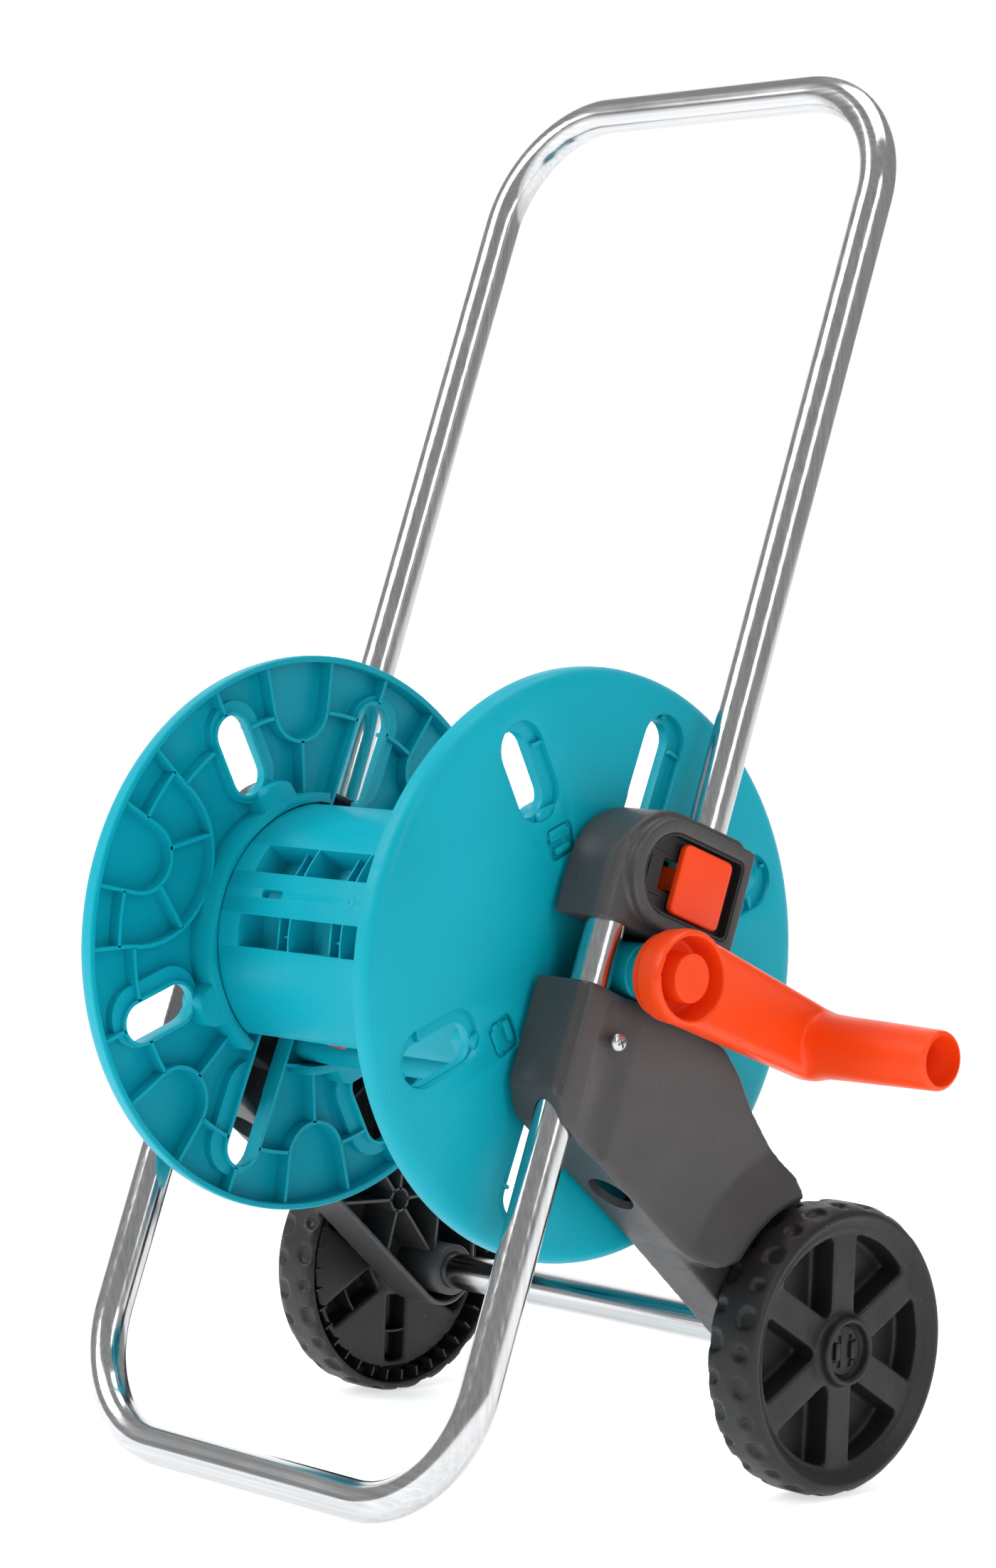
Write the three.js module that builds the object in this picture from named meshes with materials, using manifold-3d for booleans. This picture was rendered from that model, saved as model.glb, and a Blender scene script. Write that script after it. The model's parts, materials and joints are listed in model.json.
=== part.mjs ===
// Garden hose reel cart: a tubular foot loop and a telescoping handle loop, joined on each side
// by a moulded bracket and a moulded leg housing, with a crank-wound drum between them and two wheels.
// Millimetres. X runs along the drum axis with the crank at +X, +Y is the wheel side, +Z is up.
import * as THREE from 'three';
import { mergeVertices } from 'three/addons/utils/BufferGeometryUtils.js';
import Module from 'manifold-3d';

const wasm = await Module();
wasm.setup();

// ---------------------------------------------------------------- driving dimensions

const clearance = 0.3;          // gap between pieces that touch
const runningGap = 0.6;         // radial gap between pieces that slide or turn
const wall = 3;                 // wall of the moulded housings and brackets

const tubeDiameter = 20;
const tubeWall = 1.5;
const bendRadius = 64;
const leanDegrees = 18.2;       // tubes lean back from upright
const tubePitch = 53.6;         // between the front and the rear tube, square to both
const footHalfSpacing = 140;    // leg of the foot loop from the middle plane
const handleHalfSpacing = 138;
const drumHeight = 268;         // drum axis above the ground
const handleHeight = 723;       // axis of the grip bar above the ground
const handleStroke = 220;
const handleTail = 45;          // leg of the handle loop below the drum axis, drawn out

const flangeRadius = 148.3;
const flangeOuterX = 112.5;
const flangeWeb = 3;
const flangeLip = 9.5;          // depth of the rim and ribs on the inner face
const slotWidth = 21;
const slotSpread = 48.5;        // degrees from a long slot to the short one on each side of it
const slotOuterRadius = 119.5;  // centre of a slot's outer round end
const slotInnerRadius = 95.5;
const longSlotInnerRadius = 60;
const coreRadius = 70;
const coreThickness = 20;
const coreWall = 3.2;
const coreHalfAngle = 73;       // degrees to each side of a core segment's middle
const coreMiddleAngle = 160;    // degrees from +Y
const windowRows = [-17.4, 15.6];   // degrees from the segment's middle
const windowColumns = 4;
const windowWidth = 38;
const windowHeight = 16.8;
const windowRib = 2;

const journalRadius = 9;
const sleeveRadius = 14.4;
const crankReach = 104;         // drum axis to grip axis
const crankHeadRadius = 24;
const crankHeadBack = 21;       // radius of the head next to the bracket
const crankRecessRadius = 20;
const crankBossRadius = 12.2;
const armRootHalf = 23;         // half width of the arm at the head and at the grip
const armTipHalf = 20;
const crankHeadDepth = 22;
const crankDegrees = -20.7;     // the crank points back and down
const gripLength = 76;
const gripRadius = 15;

const wheelRadius = 74.6;
const wheelWidth = 30.6;
const wheelStart = 150.4;       // inner side of the tyre from the middle plane
const axleSetback = 125.1;      // wheel axis behind the drum axis
const stubRadius = 8;
const hubRingRadius = 17.8;
const spokeCount = 6;
const spokeWidth = 17;

const sideStart = 117;          // inner edge of housings and brackets from the middle plane
const sideEnd = 153.8;          // outer face of the housings
const bracketFace = 152.2;      // outer face of the brackets
const bracketEnd = 158;         // outer face of the surround of the latch window
const fenderEnd = 163.5;        // outer face of the flare next to the tyre
const tyreGap = 3;
const bracketFront = -41;
const bracketBack = 45;
const bracketBottom = 17;
const bracketTop = 80;
const windowFront = -28;
const windowBack = 39.8;
const windowBottom = 27.3;
const windowTop = 69;
const windowRim = 8;
const housingTop = -15;
const housingFrontBottom = -69;
const buttonSize = 35.6;
const buttonDepth = 5;
const buttonBackGap = 7.8;      // from the locked button to the back edge of the window
const latchStroke = 10;         // the button moves this far towards the front tube
const shoeHalfWidth = 6;
const shoeHalfHeight = 8;
const screwRadius = 2;
const screwHeadRadius = 4.8;
const plateThickness = 11;
const plateHalfWidth = 15.5;
const plateReach = 60;
const bracketBoltAlong = 34;
const elbowStart = 155.5;
const inletEnd = 182.5;

// ---------------------------------------------------------------- derived places

const tubeRadius = tubeDiameter / 2;
const tubeBore = tubeRadius - tubeWall;
const leanAngle = THREE.MathUtils.degToRad(leanDegrees);
const sinLean = Math.sin(leanAngle);
const cosLean = Math.cos(leanAngle);
const frontTube = -tubePitch / 2;
const rearTube = tubePitch / 2;
const footBarAlong = (tubeRadius - drumHeight + frontTube * sinLean) / cosLean;
const handleBarAlong = (handleHeight - drumHeight + rearTube * sinLean) / cosLean;
const wheelHeight = wheelRadius - drumHeight;      // wheel axis seen from the drum axis
const windowMiddle = (windowBottom + windowTop) / 2;
const plateStart = sideStart + 1.3;
const plateEnd = plateStart + plateThickness;
const skinInside = sideEnd - wall;
const legSkin = wheelStart - 2;                    // outer face of the housing behind the tyre
const socketStart = sideStart - 5;
const stubHeadStart = wheelStart + wheelWidth - 9;
const bracketSkin = bracketFace - wall;
const footLegTop = bracketTop - 26;                // the foot tubes end under the dome of the bracket
const crankHeadStart = bracketEnd + 0.8;
const buttonFront = windowBack - buttonBackGap - buttonSize;
const tyreReach = wheelRadius + tyreGap - 6;       // corner of the housing over the tyre

// ---------------------------------------------------------------- materials

const finish = (color, roughness, metalness) => (
  new THREE.MeshStandardMaterial({ color, roughness, metalness }));
const aluminium = finish(0xc9cbcd, 0.22, 1);
const teal = finish(0x03a6bd, 0.45, 0);
const orange = finish(0xf04a1c, 0.4, 0);
const darkGrey = finish(0x434244, 0.55, 0);
const blackPlastic = finish(0x232325, 0.6, 0);
const steel = finish(0xb8babd, 0.3, 1);
const rubber = finish(0x1b1b1c, 0.85, 0);

// ---------------------------------------------------------------- solids

/** Turns a three.js geometry into a solid, with its faces pointing out. */
function solid(geometry) {
  const bare = geometry.index ? geometry.toNonIndexed() : geometry.clone();
  bare.deleteAttribute('normal');
  bare.deleteAttribute('uv');
  const merged = mergeVertices(bare, 1e-4);
  const places = merged.attributes.position.array;
  const corners = merged.index.array;
  const faces = [];
  let volume = 0;
  const corner = (index) => new THREE.Vector3().fromArray(places, index * 3);
  for (let i = 0; i < corners.length; i += 3) {
    const [a, b, c] = [corners[i], corners[i + 1], corners[i + 2]];
    if (a === b || b === c || c === a) continue;
    faces.push(a, b, c);
    volume += corner(a).dot(corner(b).cross(corner(c)));
  }
  if (volume < 0) {
    for (let i = 0; i < faces.length; i += 3) [faces[i], faces[i + 1]] = [faces[i + 1], faces[i]];
  }
  return new wasm.Manifold(new wasm.Mesh({
    numProp: 3,
    vertProperties: new Float32Array(places),
    triVerts: new Uint32Array(faces),
  }));
}

const join = (...solids) => solids.flat().reduce((whole, next) => whole.add(next));
const cut = (whole, ...tools) => tools.flat().reduce((rest, tool) => rest.subtract(tool), whole);

/** Geometry of a solid, ready for a mesh. */
function geometryOf(body) {
  const mesh = body.getMesh();
  const geometry = new THREE.BufferGeometry();
  geometry.setAttribute('position', new THREE.BufferAttribute(mesh.vertProperties, 3));
  geometry.setIndex(new THREE.BufferAttribute(mesh.triVerts, 1));
  return geometry;
}

const alongX = new THREE.Matrix4().makeBasis(
  new THREE.Vector3(0, 1, 0), new THREE.Vector3(0, 0, 1), new THREE.Vector3(1, 0, 0));
const aboutX = new THREE.Matrix4().makeBasis(
  new THREE.Vector3(0, 1, 0), new THREE.Vector3(1, 0, 0), new THREE.Vector3(0, 0, -1));

/** A side-view outline (Y, Z) pulled out along X. */
function extrudeX(shape, from, to, curveSegments = 5) {
  const geometry = new THREE.ExtrudeGeometry(shape, {
    depth: to - from, bevelEnabled: false, curveSegments,
  });
  geometry.applyMatrix4(alongX);
  geometry.translate(from, 0, 0);
  return solid(geometry);
}

/** Sides of a round of this radius: finer on the large ones, always with a corner on each axis. */
const facets = (radius) => 4 * Math.round((8 + 3 * Math.sqrt(radius)) / 4);

/** A closed outline of [radius, x] points turned about X. */
function latheX(profile) {
  const segments = facets(Math.max(...profile.map(([radius]) => radius)));
  const points = profile.map(([radius, x]) => new THREE.Vector2(radius, x));
  if (profile[0][0] > 0) points.push(points[0].clone());
  const geometry = new THREE.LatheGeometry(points, segments);
  geometry.applyMatrix4(aboutX);
  return solid(geometry);
}

/** A box from one corner to the other. */
function box(from, to) {
  const size = to.map((value, axis) => value - from[axis]);
  const geometry = new THREE.BoxGeometry(...size);
  geometry.translate(...from.map((value, axis) => value + size[axis] / 2));
  return solid(geometry);
}

/** A rod about X, or a ring when it has a bore. */
function rodX(radius, from, to, bore = 0) {
  return latheX([[bore, from], [radius, from], [radius, to], [bore, to]]);
}

/** A rod along Z (axis 'z') or along Y (axis 'y') through a point given as [x, y, z] of its lower end. */
function rod(radius, length, start, axis) {
  const geometry = new THREE.CylinderGeometry(radius, radius, length, facets(radius));
  geometry.translate(0, length / 2, 0);
  if (axis === 'z') geometry.rotateX(Math.PI / 2);
  geometry.translate(...start);
  return solid(geometry);
}

/** Outline through [y, z] points. */
function outline(points) {
  return new THREE.Shape(points.map(([y, z]) => new THREE.Vector2(y, z)));
}

/** A slot outline with round ends, along a ray from the axis. */
function slotShape(inner, outer, width, degrees) {
  const angle = THREE.MathUtils.degToRad(degrees);
  const radius = width / 2;
  const shape = new THREE.Shape();
  shape.absarc(inner * Math.cos(angle), inner * Math.sin(angle), radius,
    angle + Math.PI / 2, angle + Math.PI * 1.5, false);
  shape.absarc(outer * Math.cos(angle), outer * Math.sin(angle), radius,
    angle - Math.PI / 2, angle + Math.PI / 2, false);
  return shape;
}

/** A thick arc about the axis, between two radii and two angles in degrees. */
function arcShape(inner, outer, fromDegrees, toDegrees) {
  const from = THREE.MathUtils.degToRad(fromDegrees);
  const to = THREE.MathUtils.degToRad(toDegrees);
  const shape = new THREE.Shape();
  shape.absarc(0, 0, outer, from, to, false);
  shape.absarc(0, 0, inner, to, from, true);
  return shape;
}

const turnX = (body, degrees) => body.rotate([degrees, 0, 0]);
const moveTo = (body, x, y, z) => body.translate([x, y, z]);

// ---------------------------------------------------------------- bent tubes

/** A U-shaped loop in the X-Z plane: two legs along Z and a bar along X, round bends between them. */
class LoopCurve extends THREE.Curve {
  constructor(halfSpacing, legEnd, barHeight, radius, bendSteps) {
    super();
    const way = Math.sign(barHeight - legEnd);
    this.stations = [{ place: [halfSpacing, legEnd], heading: [0, way] }];
    for (const side of [1, -1]) {
      for (let step = 0; step <= bendSteps; step += 1) {
        const turn = (side > 0 ? step : bendSteps - step) / bendSteps * Math.PI / 2;
        this.stations.push({
          place: [side * (halfSpacing - radius + radius * Math.cos(turn)),
            barHeight - way * radius + way * radius * Math.sin(turn)],
          heading: [-Math.sin(turn), side * way * Math.cos(turn)],
        });
      }
    }
    this.stations.push({ place: [-halfSpacing, legEnd], heading: [0, -way] });
  }

  station(t) {
    return this.stations[Math.round(t * (this.stations.length - 1))];
  }

  getPoint(t, target = new THREE.Vector3()) {
    const { place } = this.station(t);
    return target.set(place[0], 0, place[1]);
  }

  getPointAt(t, target) {
    return this.getPoint(t, target);
  }

  getTangentAt(t, target = new THREE.Vector3()) {
    const { heading } = this.station(t);
    return target.set(heading[0], 0, heading[1]);
  }
}

/** A ring-shaped section swept along a loop. */
function bentTube(halfSpacing, legEnd, barHeight) {
  const path = new LoopCurve(halfSpacing, legEnd, barHeight, bendRadius, 6);
  const section = new THREE.Shape();
  section.absarc(0, 0, tubeRadius, 0, Math.PI * 2, false);
  const bore = new THREE.Path();
  bore.absarc(0, 0, tubeBore, 0, Math.PI * 2, true);
  section.holes.push(bore);
  return solid(new THREE.ExtrudeGeometry(section, {
    extrudePath: path, steps: path.stations.length - 1, curveSegments: 6, bevelEnabled: false,
  }));
}

// ---------------------------------------------------------------- scene graph

const cart = new THREE.Group();
const axisFrame = new THREE.Group();       // origin on the drum axis
axisFrame.position.z = drumHeight;
cart.add(axisFrame);
const legFrame = new THREE.Group();        // Y square to the tubes, Z up along them
legFrame.rotation.x = -leanAngle;
axisFrame.add(legFrame);

function place(name, body, material, parent = axisFrame) {
  const mesh = new THREE.Mesh(geometryOf(body), material);
  mesh.name = name;
  parent.add(mesh);
  return mesh;
}

const sides = [{ name: 'right', sign: 1 }, { name: 'left', sign: -1 }];
const mirror = (body, sign) => (sign > 0 ? body : body.mirror([1, 0, 0]));

// ---------------------------------------------------------------- foot loop, handle loop, axle

place('foot_loop_tube', bentTube(footHalfSpacing, footLegTop, footBarAlong).translate([0, frontTube, 0]),
  aluminium, legFrame);

const handleLoop = bentTube(handleHalfSpacing, -handleTail, handleBarAlong).translate([0, rearTube, 0]);
place('handle_loop_tube', handleLoop,
  aluminium, legFrame);

for (const { name, sign } of sides) {
  const footPlug = join(
    rod(tubeBore - clearance, 14, [0, 0, footLegTop - 14 + clearance], 'z'),
    rod(tubeRadius, 2, [0, 0, footLegTop + clearance], 'z'));
  const plugged = moveTo(footPlug, sign * footHalfSpacing, frontTube, 0);
  place(`foot_tube_plug_${name}`, plugged, blackPlastic, legFrame);
  const slideShoe = join(
    rod(tubeBore - clearance, 16, [0, 0, -handleTail - clearance], 'z'),
    rod(tubeRadius, 4, [0, 0, -handleTail - clearance - 4], 'z'));
  place(`handle_end_plug_${name}`, moveTo(slideShoe, sign * handleHalfSpacing, rearTube, 0),
    blackPlastic, legFrame);
}

const axleEnd = legSkin - wall - clearance;
const axleTube = rodX(tubeRadius, -axleEnd, axleEnd, tubeBore);
place('axle_tube', moveTo(axleTube, 0, axleSetback, wheelHeight), aluminium);

// ---------------------------------------------------------------- side pieces

/** A point of the leg frame (across, along) as [y, z] of the upright frame. */
const upright = (across, along) => [
  across * cosLean + along * sinLean, -across * sinLean + along * cosLean];

const tubeHole = (x, across, radius, from, to) => rod(radius, to - from, [x, across, from], 'z');

/** Outline of the upper bracket, domed at its front top corner. */
function bracketShape(inset) {
  const front = bracketFront + inset;
  const back = bracketBack - inset;
  const bottom = bracketBottom + inset;
  const top = bracketTop - inset;
  const dome = 34 - inset;
  const corner = 5 - Math.min(inset, 3);
  const shape = new THREE.Shape();
  shape.moveTo(front, bottom);
  shape.lineTo(back, bottom);
  shape.lineTo(back, top - corner);
  shape.absarc(back - corner, top - corner, corner, 0, Math.PI / 2, false);
  shape.lineTo(front + dome, top);
  shape.absarc(front + dome, top - dome, dome, Math.PI / 2, Math.PI, false);
  return shape;
}

/** D-shaped outline of the latch window, round at the front. */
function latchWindowShape(inset) {
  const radius = (windowTop - windowBottom) / 2 - inset;
  const shape = new THREE.Shape();
  shape.moveTo(windowBack - inset, windowMiddle - radius);
  shape.lineTo(windowBack - inset, windowMiddle + radius);
  shape.absarc(windowFront + inset + radius, windowMiddle, radius, Math.PI / 2, Math.PI * 1.5, false);
  return shape;
}

const footSocketTop = footLegTop + 2 + 2 * clearance;
const linerFloor = footHalfSpacing + tubeRadius + clearance;
const stemFront = rearTube - tubeRadius - 15.8;
const stemBack = stemFront + 8;
const latchSlot = { from: stemFront - latchStroke - 2, to: stemBack + 3, halfHeight: 8 };
const buttonEnd = bracketEnd - 0.6;

/** Upper bracket: a shell open towards the drum, with both tubes through its floor. */
function upperBracket() {
  const surround = extrudeX(latchWindowShape(-windowRim), bracketFace - 1, bracketEnd)
    .intersect(extrudeX(bracketShape(0), sideStart, bracketEnd + 1));
  const shell = cut(
    join(extrudeX(bracketShape(0), sideStart, bracketFace), surround),
    extrudeX(bracketShape(wall), sideStart - 1, bracketSkin),
    extrudeX(latchWindowShape(0), bracketSkin - 1, bracketEnd + 1));
  const springSeat = box([plateEnd + 1, -15.6, windowMiddle - 9], [linerFloor - 2, -13.6, windowMiddle + 9]);
  const seatRoot = box([plateEnd + 1, -15.6, bracketBottom + 1], [plateEnd + 5, -13.6, windowMiddle + 9]);
  const saddle = box([sideStart, bracketFront + 1, footSocketTop], [bracketSkin + 1, -15, footSocketTop + wall])
    .intersect(extrudeX(bracketShape(1), sideStart, bracketFace));
  const boss = join(
    rodX(4.5, plateEnd + 1, linerFloor - 1).translate([0, 0, bracketBoltAlong]),
    box([plateEnd + 1, -2, bracketBottom + 1], [linerFloor - 1, 2, bracketBoltAlong]));
  return cut(join(shell, springSeat, seatRoot, saddle, boss),
    box([sideStart - 1, -plateHalfWidth - 0.5, bracketBottom - 1],
      [plateEnd + clearance, plateHalfWidth + 0.5, plateReach + 0.5]),
    rodX(screwRadius + clearance, plateEnd, plateEnd + 14).translate([0, 0, bracketBoltAlong]),
    tubeHole(footHalfSpacing, frontTube, tubeRadius + clearance, bracketBottom - 1, footSocketTop),
    tubeHole(handleHalfSpacing, rearTube, tubeRadius + runningGap, bracketBottom - 1, bracketTop + 1));
}

/** Black liner of the latch window: a D-shaped tray with the slot that guides the latch. */
function latchLiner() {
  const tray = cut(
    extrudeX(latchWindowShape(clearance), linerFloor, buttonEnd),
    extrudeX(latchWindowShape(clearance + 1), linerFloor + 1.4, bracketEnd));
  return cut(tray,
    box([linerFloor - 1, latchSlot.from, windowMiddle - latchSlot.halfHeight],
      [bracketEnd, latchSlot.to, windowMiddle + latchSlot.halfHeight]));
}

/** Orange latch button with the stem that carries the pin. */
function latchButton() {
  const half = buttonSize / 2;
  const corner = 3.5;
  const shape = new THREE.Shape();
  const [front, back] = [buttonFront, buttonFront + buttonSize];
  const [low, high] = [windowMiddle - half, windowMiddle + half];
  shape.absarc(back - corner, low + corner, corner, -Math.PI / 2, 0, false);
  shape.absarc(back - corner, high - corner, corner, 0, Math.PI / 2, false);
  shape.absarc(front + corner, high - corner, corner, Math.PI / 2, Math.PI, false);
  shape.absarc(front + corner, low + corner, corner, Math.PI, Math.PI * 1.5, false);
  const plate = extrudeX(shape, buttonEnd - buttonDepth, buttonEnd, 3);
  const stem = box([handleHalfSpacing - 5, stemFront, windowMiddle - 6],
    [buttonEnd - buttonDepth + 1, stemBack, windowMiddle + 6]);
  return join(plate, stem);
}

/** Brake shoe on the stem, hollowed to the round of the handle tube it grips. */
function latchShoe() {
  const block = box([handleHalfSpacing - shoeHalfWidth, stemBack + clearance, windowMiddle - shoeHalfHeight],
    [handleHalfSpacing + shoeHalfWidth, rearTube - tubeRadius + 2, windowMiddle + shoeHalfHeight]);
  return cut(block, tubeHole(handleHalfSpacing, rearTube, tubeRadius + clearance,
    windowMiddle - shoeHalfHeight - 1, windowMiddle + shoeHalfHeight + 1));
}

const coilTurns = 3.5;

/** Centre line of the latch spring. */
class CoilCurve extends THREE.Curve {
  constructor(radius, from, to) {
    super();
    Object.assign(this, { radius, from, to });
  }

  getPoint(t, target = new THREE.Vector3()) {
    const turn = t * coilTurns * Math.PI * 2;
    return target.set(this.radius * Math.cos(turn), this.from + (this.to - this.from) * t,
      this.radius * Math.sin(turn));
  }
}

function latchSpring() {
  const wire = 0.5;
  const path = new CoilCurve(3.4, -13.6 + wire + clearance, stemFront - wire - clearance);
  const section = new THREE.Shape();
  section.absarc(0, 0, wire, 0, Math.PI * 2, false);
  return solid(new THREE.ExtrudeGeometry(section, {
    extrudePath: path, steps: 24, curveSegments: 3, bevelEnabled: false,
  }));
}

// Back edge of the leg housing, from the tyre up to the drum axis, as [y, z].
const housingBack = [[109, -106], [88, -87], [77, -72], [67, -54], [56, -40]];

/** Side view of the leg housing, from the drum hub down and back to the wheel. */
function housingShape(inset) {
  const heel = 21 - inset;
  const top = housingTop - inset;
  const front = bracketFront + inset;
  const slope = Math.atan2(-101, 119);
  const undersideAt = (y) => -80 - (y + 40) * Math.tan(-slope) + inset / Math.cos(slope);
  const shape = new THREE.Shape();
  const [frontTopY, frontTopZ] = upright(front, top);
  const [frontLowY, frontLowZ] = upright(front, housingFrontBottom);
  const [chinY, chinZ] = upright(front + 10, housingFrontBottom - 15 + inset);
  const [backTopY, backTopZ] = upright(46 - inset, top);
  shape.moveTo(frontTopY, frontTopZ);
  shape.lineTo(frontLowY, frontLowZ);
  shape.lineTo(chinY, chinZ);
  shape.lineTo(-34 + inset, undersideAt(-34 + inset));
  shape.absarc(axleSetback, wheelHeight, heel, slope - Math.PI / 2, 0, false);
  shape.lineTo(axleSetback + heel, wheelHeight + 16);
  shape.lineTo(119 - inset, wheelHeight + tyreReach + 8 - inset);
  for (const [y, z] of housingBack) shape.lineTo(y - inset, z - inset * 0.6);
  shape.lineTo(backTopY, backTopZ);
  return shape;
}

const boltPlaces = [upright(-12, -38), [88, -152]];

/** Leg housing: a shell open towards the drum, with a flare beside the tyre and a rib lattice inside. */
function legHousing() {
  const tyre = rodX(wheelRadius + tyreGap, legSkin, fenderEnd + 1);
  const tyreSpace = moveTo(tyre, 0, axleSetback, wheelHeight);
  const nearTyre = moveTo(rodX(wheelRadius + tyreGap + 26, legSkin, fenderEnd + 1),
    0, axleSetback, wheelHeight);
  const innerTyre = moveTo(rodX(wheelRadius + tyreGap + wall, legSkin - wall, fenderEnd),
    0, axleSetback, wheelHeight);
  const body = cut(extrudeX(housingShape(0), sideStart, sideEnd), tyreSpace);
  const hollow = cut(extrudeX(housingShape(wall), sideStart - 1, skinInside), innerTyre);
  const flareShell = cut(
    extrudeX(housingShape(0), sideEnd - 1, fenderEnd).intersect(nearTyre),
    tyreSpace);
  const flareHollow = cut(
    extrudeX(housingShape(wall), sideStart, fenderEnd - wall).intersect(
      moveTo(rodX(wheelRadius + tyreGap + 26 - wall, legSkin, fenderEnd), 0, axleSetback, wheelHeight)),
    innerTyre);
  const shell = cut(join(body, flareShell), hollow, flareHollow);

  const ribs = [];
  const addRib = (from, to, thickness = 2) => {
    const [dy, dz] = [to[0] - from[0], to[1] - from[1]];
    const length = Math.hypot(dy, dz);
    const plank = box([sideStart + 1, 0, -thickness / 2], [legSkin - 1, length, thickness / 2]);
    ribs.push(moveTo(turnX(plank, THREE.MathUtils.radToDeg(Math.atan2(dz, dy))), 0, from[0], from[1]));
  };
  const latticeNodes = [[-30, -72], [44, -60], [30, -112], [80, -100], [70, -146], [103, -122], [108, -184]];
  for (let i = 0; i + 1 < latticeNodes.length; i += 1) addRib(latticeNodes[i], latticeNodes[i + 1]);
  const lattice = join(ribs).intersect(extrudeX(housingShape(1), sideStart, legSkin - 1));

  const socket = moveTo(rodX(14, socketStart, legSkin - 1), 0, axleSetback, wheelHeight);
  const bosses = boltPlaces.map(([y, z]) => moveTo(rodX(5.5, plateEnd + 1, sideEnd - 1), 0, y, z));
  const saddle = extrudeX(outline([upright(bracketFront + 1, -44), upright(44, -44),
    upright(44, -41), upright(bracketFront + 1, -41)]), sideStart + 1, skinInside + 1);
  const plateSlot = extrudeX(plateOutline(clearance + 0.2), sideStart - 2, plateEnd + clearance);

  return cut(join(shell, lattice, socket, bosses, saddle),
    plateSlot,
    moveTo(rodX(tubeRadius + clearance, socketStart - 1, axleEnd + clearance), 0, axleSetback, wheelHeight),
    moveTo(rodX(stubRadius + clearance, socketStart, sideEnd), 0, axleSetback, wheelHeight),
    boltPlaces.map(([y, z]) => moveTo(rodX(screwRadius + clearance, sideStart, sideEnd + 20), 0, y, z)),
    turnX(tubeHole(footHalfSpacing, frontTube, tubeRadius + clearance, -110, 0), -leanDegrees),
    turnX(tubeHole(handleHalfSpacing, rearTube, tubeRadius + runningGap, -150, 0), -leanDegrees));
}

/** Outline of the bearing plate that stands between the tubes, in the upright frame. */
function plateOutline(grow) {
  return outline([
    upright(-plateHalfWidth - grow, -plateReach - grow), upright(plateHalfWidth + grow, -plateReach - grow),
    upright(plateHalfWidth + grow, plateReach + grow), upright(-plateHalfWidth - grow, plateReach + grow)]);
}

/** Bearing plate: carries the drum journal and joins bracket and housing on the inner side. */
function bearingPlate() {
  const bearing = join(
    extrudeX(plateOutline(0), plateStart, plateEnd),
    rodX(journalRadius + 4.4, plateStart, plateEnd + 2));
  return cut(bearing,
    rodX(journalRadius + runningGap / 2, plateStart - 1, plateEnd + 5),
    [boltPlaces[0], upright(0, bracketBoltAlong)].map(([y, z]) => moveTo(
      rodX(screwRadius + clearance, plateStart - 1, plateEnd + 1), 0, y, z)));
}

/** Pan-head screw along X; the head faces +X. */
function screw(length) {
  return latheX([[0, -length], [screwRadius, -length], [screwRadius, 0], [screwHeadRadius, 0],
    [screwHeadRadius, 1], [screwHeadRadius * 0.82, 2.1], [screwHeadRadius * 0.4, 2.7], [0, 2.8]]);
}

for (const { name, sign } of sides) {
  place(`upper_bracket_${name}`, mirror(upperBracket(), sign), darkGrey, legFrame);
  place(`latch_window_liner_${name}`, mirror(latchLiner(), sign), blackPlastic, legFrame);
  place(`latch_button_${name}`, mirror(latchButton(), sign), orange, legFrame);
  place(`latch_shoe_${name}`, mirror(latchShoe(), sign), rubber, legFrame);
  place(`latch_spring_${name}`,
    moveTo(latchSpring(), sign * handleHalfSpacing, 0, windowMiddle), steel, legFrame);
  place(`leg_housing_${name}`, mirror(legHousing(), sign), darkGrey);
  place(`bearing_plate_${name}`, mirror(bearingPlate(), sign), blackPlastic);

  const shortScrew = screw(sideEnd + clearance - plateStart - 1);
  const driven = moveTo(shortScrew, sideEnd + clearance, ...boltPlaces[0]);
  place(`housing_screw_${name}`, mirror(driven, sign), steel);
  const wheelScrew = screw(16);
  place(`axle_screw_${name}`,
    mirror(moveTo(wheelScrew.mirror([1, 0, 0]), plateEnd + 1 - clearance, ...boltPlaces[1]), sign), steel);

  const longScrew = screw(plateThickness + 12).mirror([1, 0, 0]);
  const innerScrew = moveTo(longScrew, plateStart - clearance, 0, bracketBoltAlong);
  place(`bracket_screw_${name}`, mirror(innerScrew, sign), steel, legFrame);

  const stub = join(
    rodX(stubRadius - clearance, socketStart + 6, stubHeadStart),
    rodX(13, stubHeadStart - 0.01, stubHeadStart + 5.4));
  const hookGap = (low) => box([stubHeadStart + 1.5, 3.4 * low - 1.4, -9], [stubHeadStart + 7, 3.4 * low + 1.4, 9]);
  place(`wheel_stub_${name}`,
    mirror(moveTo(cut(stub, hookGap(1), hookGap(-1)), 0, axleSetback, wheelHeight), sign), blackPlastic);
}

// ---------------------------------------------------------------- wheels

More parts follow.
